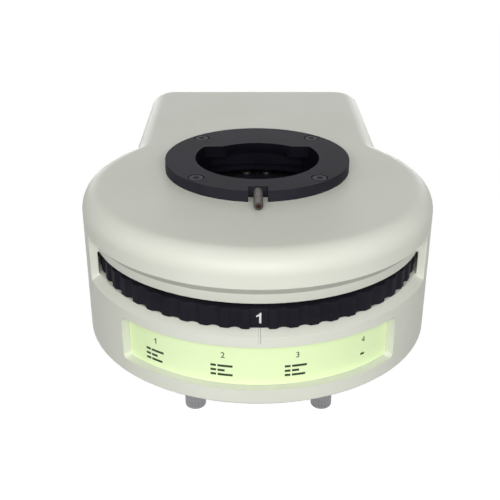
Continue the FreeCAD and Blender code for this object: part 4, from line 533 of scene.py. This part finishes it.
def wrap_outwards(piece, angle, radius, axis_y, level, flat=False):
    """Sets a piece that is drawn flat, in millimetres, on a round wall or on a flat seat of it.

    The angle is counted from the front, and the round wall's axis is at x = 0 and y = axis_y.
    """
    middle = math.radians(angle - 90)
    for point in piece.data.vertices:
        x, y, z = point.co
        if flat:
            spot = Vector((math.cos(middle), math.sin(middle), 0)) * (radius + z)
            spot += Vector((-math.sin(middle), math.cos(middle), 0)) * x
        else:
            turn = middle + x / radius
            spot = Vector((math.cos(turn), math.sin(turn), 0)) * (radius + z)
        point.co = (spot + Vector((0, axis_y, level + y))) * MM
    piece.data.update()


def print_piece(piece, material, body):
    """Makes the piece a print of that material on a body."""
    piece.data.materials.clear()
    piece.data.materials.append(material)
    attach(piece, body)


print("label face at", LABEL_FACE, "mm from the housing's centre")

# %% [markdown]
# The figure 1 has a curved flag and the 4 an open triangle, so these two are drawn: one face with the
# outline's corners is thickened, and the 4 gets its triangle cut out. The 2 and the 3 are text objects,
# a little bolder than usual, which are made a mesh and brought to the wanted height and thickness.

# %% Figures
ONE_OUTLINE = [(0.30, 0.0), (0.47, 0.0), (0.47, 1.0), (0.36, 1.0), (0.29, 0.89), (0.18, 0.80), (0.05, 0.74),
               (0.05, 0.58), (0.18, 0.63), (0.30, 0.71)]
ONE_MIDDLE = 0.30
FOUR_OUTLINE = [(0.42, 0.0), (0.56, 0.0), (0.56, 0.32), (0.67, 0.32), (0.67, 0.45), (0.56, 0.45),
                (0.56, 1.0), (0.45, 1.0), (0.0, 0.42), (0.0, 0.32), (0.42, 0.32)]
FOUR_TRIANGLE = [(0.16, 0.45), (0.42, 0.45), (0.42, 0.785)]
FOUR_MIDDLE = 0.335
WHEEL_FIGURE_HEIGHT = 4.6
LABEL_FIGURE_HEIGHT = 2.6
TEXT_THICKNESS = 0.02
TEXT_BOLDNESS = 0.004
TEXT_CURVE_STEPS = 4


def thick_outline(corners, middle, height, low, high, name):
    """Closed piece between two levels; the corners are shares of the height, from the figure's foot."""
    bpy.ops.object.select_all(action="DESELECT")
    bpy.ops.mesh.primitive_circle_add(vertices=len(corners), radius=height, fill_type="NGON")
    piece = bpy.context.object
    piece.name = name
    for point, (x, y) in zip(piece.data.vertices, corners):
        point.co = ((x - middle) * height, (y - 0.5) * height, low)
    bpy.ops.object.mode_set(mode="EDIT")
    bpy.ops.mesh.select_all(action="SELECT")
    bpy.ops.mesh.extrude_region_move(TRANSFORM_OT_translate={"value": (0, 0, high - low)})
    bpy.ops.object.mode_set(mode="OBJECT")
    face_outwards(piece)
    return piece


def figure_one(height, name):
    """The number 1, with its flag."""
    return thick_outline(ONE_OUTLINE, ONE_MIDDLE, height, 0, INK_THICKNESS, name)


def figure_four(height, name):
    """The number 4, with its open triangle."""
    piece = thick_outline(FOUR_OUTLINE, FOUR_MIDDLE, height, 0, INK_THICKNESS, name)
    triangle = thick_outline(FOUR_TRIANGLE, FOUR_MIDDLE, height, -INK_THICKNESS, 2 * INK_THICKNESS,
                             "four_triangle")
    combine(piece, triangle, "DIFFERENCE")
    return piece


def figure_from_text(text, height, name):
    """Figure from a text object, centred on the origin."""
    bpy.ops.object.select_all(action="DESELECT")
    bpy.ops.object.text_add()
    piece = bpy.context.object
    piece.name = name
    piece.data.body = text
    piece.data.extrude = TEXT_THICKNESS
    piece.data.offset = TEXT_BOLDNESS
    piece.data.resolution_u = TEXT_CURVE_STEPS
    bpy.ops.object.convert(target="MESH")
    piece = bpy.context.object
    low, high = [edge(point.co.y for point in piece.data.vertices) for edge in (min, max)]
    left, right = [edge(point.co.x for point in piece.data.vertices) for edge in (min, max)]
    scale = height / (high - low)
    for point in piece.data.vertices:
        x, y, z = point.co
        thick = INK_THICKNESS if z > 0 else 0
        point.co = ((x - (left + right) / 2) * scale, (y - (low + high) / 2) * scale, thick)
    return piece


def figure(station, height, name):
    """A station's number, drawn flat at the origin in millimetres."""
    if station == 1:
        return figure_one(height, name)
    if station == 4:
        return figure_four(height, name)
    return figure_from_text(str(station), height, name)


WHEEL_ANGLES = {1: 0, 2: 90, 3: 180, 4: 270}
LABEL_ANGLES = {1: -34.4, 2: -11.1, 3: 11.95, 4: 35.1}
LABEL_FIGURE_LEVELS = {1: 27.5, 2: 28.1, 3: 28.2, 4: 27.95}
for station, angle in WHEEL_ANGLES.items():
    piece = figure(station, WHEEL_FIGURE_HEIGHT, f"wheel_number_{station}")
    wrap_outwards(piece, angle, WHEEL_SEAT, TURRET_Y, WHEEL_LEVEL, flat=True)
    print_piece(piece, WHITE_INK, "turret")
for station, angle in LABEL_ANGLES.items():
    piece = figure(station, LABEL_FIGURE_HEIGHT, f"label_number_{station}")
    wrap_outwards(piece, angle, LABEL_FACE, HOUSING_Y, LABEL_FIGURE_LEVELS[station])
    print_piece(piece, BLACK_INK, "case")
print("figures:", len(WHEEL_ANGLES), "on the wheel,", len(LABEL_ANGLES), "on the label")

# %% [markdown]
# The small print under the figures is left as plain dashes, a short one and a longer one in each row.
# A dash is a cube that is flattened and cut into short lengths, so that it can follow the round label.
# A row is its level and the length of its longer dash, and all places count from the figure's middle.

# %% Printed dashes
SHORT_DASH = (-3.95, 2.3)
ROWS = {
    1: ((22.7, 6.1), (20.5, 2.9), (18.4, 5.3)),
    2: ((23.1, 6.1), (21.0, 2.9), (19.0, 6.1)),
    3: ((23.2, 6.1), (21.1, 2.9), (19.1, 5.5)),
}
LONG_DASH_START = -2.2
LAST_ROW = (21.2, -0.1, 2.0)
DASH_HEIGHT = 1.0


def dash(name, along, length, angle, level):
    """Flat bar on the label; along is its middle, to the right of the figure's middle."""
    bpy.ops.object.select_all(action="DESELECT")
    bpy.ops.mesh.primitive_cube_add(size=1.0)
    bar = bpy.context.object
    bar.name = name
    bpy.ops.object.mode_set(mode="EDIT")
    bpy.ops.mesh.subdivide(number_cuts=3)
    bpy.ops.transform.resize(value=(length, DASH_HEIGHT, INK_THICKNESS))
    bpy.ops.transform.translate(value=(along, 0, INK_THICKNESS / 2))
    bpy.ops.object.mode_set(mode="OBJECT")
    wrap_outwards(bar, angle, LABEL_FACE, HOUSING_Y, level)
    print_piece(bar, BLACK_INK, "case")


dashes = 0
short_middle, short_length = SHORT_DASH
for station, rows in ROWS.items():
    for row, (level, length) in enumerate(rows):
        dash(f"label_dash_{station}_{row}_short", short_middle, short_length, LABEL_ANGLES[station], level)
        long_middle = LONG_DASH_START + length / 2
        dash(f"label_dash_{station}_{row}_long", long_middle, length, LABEL_ANGLES[station], level)
        dashes += 2
level, middle, length = LAST_ROW
dash("label_dash_4_0", middle, length, LABEL_ANGLES[4], level)
print("dashes:", dashes + 1)

# %% [markdown]
# A fine index line under the wheel shows which number is in the light path. On the casting it is a narrow
# cut, which is not modelled. Its pale floor is a strip of painted highlight, and its flanks are two thin
# strips of painted shade, so there are three thin strips side by side. Each strip is a plane that is
# extruded down the slope and over its edge, then thickened.

# %% Index line on the casting
SLOT_LEVEL = 41.1
SLOPE_FOOT_LEVEL = 38.9
SLOPE_DEPTH = 4.2
SLOT_EDGE_INSET = (0.15, 0.08)
INDEX_END_LEVEL = 36.4
INDEX_THICKNESS = 0.05
# Painted shade for the cut's flanks, and a painted highlight for its floor.
INDEX_SHADE = finish("index_shade", (158, 160, 151), (168, 170, 160), (0.5, 0.6), grain=1500, depth=0.004,
                     cloud=90, shine=0.2)
INDEX_HIGHLIGHT = finish("index_painted_highlight", (226, 228, 219), (220, 222, 213), (0.4, 0.5), grain=1500, depth=0.004,
                     cloud=90, shine=0.3)


def index_strip(name, x, width, material):
    """Strip from the slot's lower edge down the slope and the wall."""
    def wall_y(radius):
        return HOUSING_Y - math.sqrt(radius * radius - x * x)
    outwards, downwards = SLOT_EDGE_INSET
    slope_top = (wall_y(HOUSING_RADIUS - SLOPE_DEPTH + outwards), SLOT_LEVEL - downwards)
    slope_foot = (wall_y(HOUSING_RADIUS), SLOPE_FOOT_LEVEL)
    bpy.ops.object.select_all(action="DESELECT")
    bpy.ops.mesh.primitive_plane_add(size=width * MM)
    strip = bpy.context.object
    strip.name = name
    for point in strip.data.vertices:
        y, z = slope_top if point.co.y > 0 else slope_foot
        point.co = (x * MM + point.co.x, y * MM, z * MM)
    bpy.ops.object.mode_set(mode="EDIT")
    bpy.ops.mesh.select_all(action="DESELECT")
    bpy.ops.object.mode_set(mode="OBJECT")
    lower_end = min(point.co.z for point in strip.data.vertices)
    for edge in strip.data.edges:
        edge.select = all(strip.data.vertices[end].co.z == lower_end for end in edge.vertices)
    bpy.ops.object.mode_set(mode="EDIT")
    bpy.ops.mesh.select_mode(type="EDGE")
    bpy.ops.mesh.extrude_region_move(
        TRANSFORM_OT_translate={"value": (0, 0, (INDEX_END_LEVEL - SLOPE_FOOT_LEVEL) * MM)})
    bpy.ops.mesh.select_mode(type="VERT")
    bpy.ops.object.mode_set(mode="OBJECT")
    face_outwards(strip)
    apply_modifier(strip, "SOLIDIFY", thickness=INDEX_THICKNESS * MM, offset=0.0)
    print_piece(strip, material, "case")


# Two strips of painted shade, with a strip of painted highlight between them, stand for the cut.
index_strip("index_line_left", x=-0.13, width=0.16, material=INDEX_SHADE)
index_strip("index_line_highlight", x=0.17, width=0.44, material=INDEX_HIGHLIGHT)
index_strip("index_line_right", x=0.54, width=0.3, material=INDEX_SHADE)
print("index line from", SLOT_LEVEL, "to", INDEX_END_LEVEL)

# %% [markdown]
# The studio: a pale floor, a white world and four wide soft lamps. The one behind and above the camera
# does most of the work, two at the sides lift the flanks, and a low one behind lights the rear face.
# The object is lit at a plain level. The background is white because the world and the floor give white to
# the camera, to reflections and to what is seen through glass, and only there: the light that falls on
# the object stays the same. The floor is also lit by the lamps, so the object's shadow stays on it.

# %% Floor, world and lamps
FLOOR_SIZE = 14.0
FLOOR_GAP = 0.0003
FLOOR_PAINT = 0.20
FLOOR_GLOW = 0.915
WORLD_LIGHT = 0.15
BACKDROP_GLOW = 1.0


def background_rays(nodes, links):
    """1 for rays from the camera, from a reflection or through glass, and 0 for the light itself."""
    path = nodes.new("ShaderNodeLightPath")
    total = path.outputs["Is Camera Ray"]
    for kind in ("Is Glossy Ray", "Is Transmission Ray"):
        add = nodes.new("ShaderNodeMath")
        add.operation = "ADD"
        add.use_clamp = True
        links.new(total, add.inputs[0])
        links.new(path.outputs[kind], add.inputs[1])
        total = add.outputs["Value"]
    return total


def make_floor():
    """Wide floor just under the object, which no solid carries."""
    bpy.ops.object.select_all(action="DESELECT")
    bpy.ops.mesh.primitive_plane_add(size=FLOOR_SIZE, location=(0, 0, -FLOOR_GAP))
    floor = bpy.context.object
    floor.name = "studio_floor"
    material = bpy.data.materials.new("floor_white")
    material.use_nodes = True
    nodes = material.node_tree.nodes
    links = material.node_tree.links
    shader = nodes["Principled BSDF"]
    shader.inputs["Base Color"].default_value = (FLOOR_PAINT, FLOOR_PAINT, FLOOR_PAINT, 1)
    shader.inputs["Roughness"].default_value = 0.9
    shader.inputs["Specular IOR Level"].default_value = 0.0
    shader.inputs["Emission Color"].default_value = (1, 1, 1, 1)
    glow = nodes.new("ShaderNodeMath")
    glow.operation = "MULTIPLY"
    glow.inputs[1].default_value = FLOOR_GLOW
    links.new(background_rays(nodes, links), glow.inputs[0])
    links.new(glow.outputs["Value"], shader.inputs["Emission Strength"])
    floor.data.materials.append(material)


def make_world():
    """World with one level for the background and a lower one for the light on the object."""
    world = bpy.data.worlds.new("studio")
    bpy.context.scene.world = world
    world.use_nodes = True
    nodes = world.node_tree.nodes
    links = world.node_tree.links
    background = nodes["Background"]
    background.inputs["Color"].default_value = (1, 1, 1, 1)
    level = nodes.new("ShaderNodeMapRange")
    level.inputs["To Min"].default_value = WORLD_LIGHT
    level.inputs["To Max"].default_value = BACKDROP_GLOW
    links.new(background_rays(nodes, links), level.inputs["Value"])
    links.new(level.outputs["Result"], background.inputs["Strength"])


def make_lamp(name, place, aim, size, power):
    """Wide soft lamp that points at a spot."""
    lamp = bpy.data.lights.new(name, "AREA")
    lamp.shape = "RECTANGLE"
    lamp.size, lamp.size_y = size
    lamp.energy = power
    holder = bpy.data.objects.new(name, lamp)
    bpy.context.scene.collection.objects.link(holder)
    holder.location = place
    holder.rotation_euler = (Vector(aim) - Vector(place)).to_track_quat("-Z", "Y").to_euler()


FRONT_AIM = (0, -0.03, 0.04)
REAR_AIM = (0, 0.13, 0.04)
make_floor()
make_world()
make_lamp("front_lamp", place=(0.0, -1.2, 0.62), aim=FRONT_AIM, size=(1.2, 0.5), power=17.6)
for side in (-1, 1):
    make_lamp(f"side_lamp_{side}", place=(side, -0.6, 0.75), aim=FRONT_AIM, size=(0.9, 0.5), power=1.5)
make_lamp("back_lamp", place=(0.0, 1.3, 0.13), aim=REAR_AIM, size=(1.6, 0.22), power=7.0)
print("lamps:", [item.name for item in bpy.data.lights])

# %% [markdown]
# The camera stands where the photograph's did: in front, looking 26 degrees down, about 40 cm from the
# ring, with a lens of 62 mm on a 36 mm film. Its place is in millimetres and its angles in degrees.

# %% Camera
CAMERA_PLACE = (-4.588, -375.941, 213.883)
CAMERA_PITCH = 25.88
CAMERA_YAW = 0.206
CAMERA_ROLL = 0.086
CAMERA_LENS = 62.474
camera = bpy.data.cameras.new("camera")
camera.lens = CAMERA_LENS
camera.sensor_width = 36.0
camera.clip_start = 0.01
holder = bpy.data.objects.new("camera", camera)
bpy.context.scene.collection.objects.link(holder)
holder.matrix_world = (
    Matrix.Translation(Vector(CAMERA_PLACE) * MM)
    @ Matrix.Rotation(math.radians(-CAMERA_YAW), 4, "Z")
    @ Matrix.Rotation(math.radians(90 - CAMERA_PITCH), 4, "X")
    @ Matrix.Rotation(math.radians(CAMERA_ROLL), 4, "Z"))
bpy.context.scene.camera = holder
bpy.context.scene.view_settings.view_transform = "Standard"
print("camera at", tuple(round(value, 3) for value in holder.location))
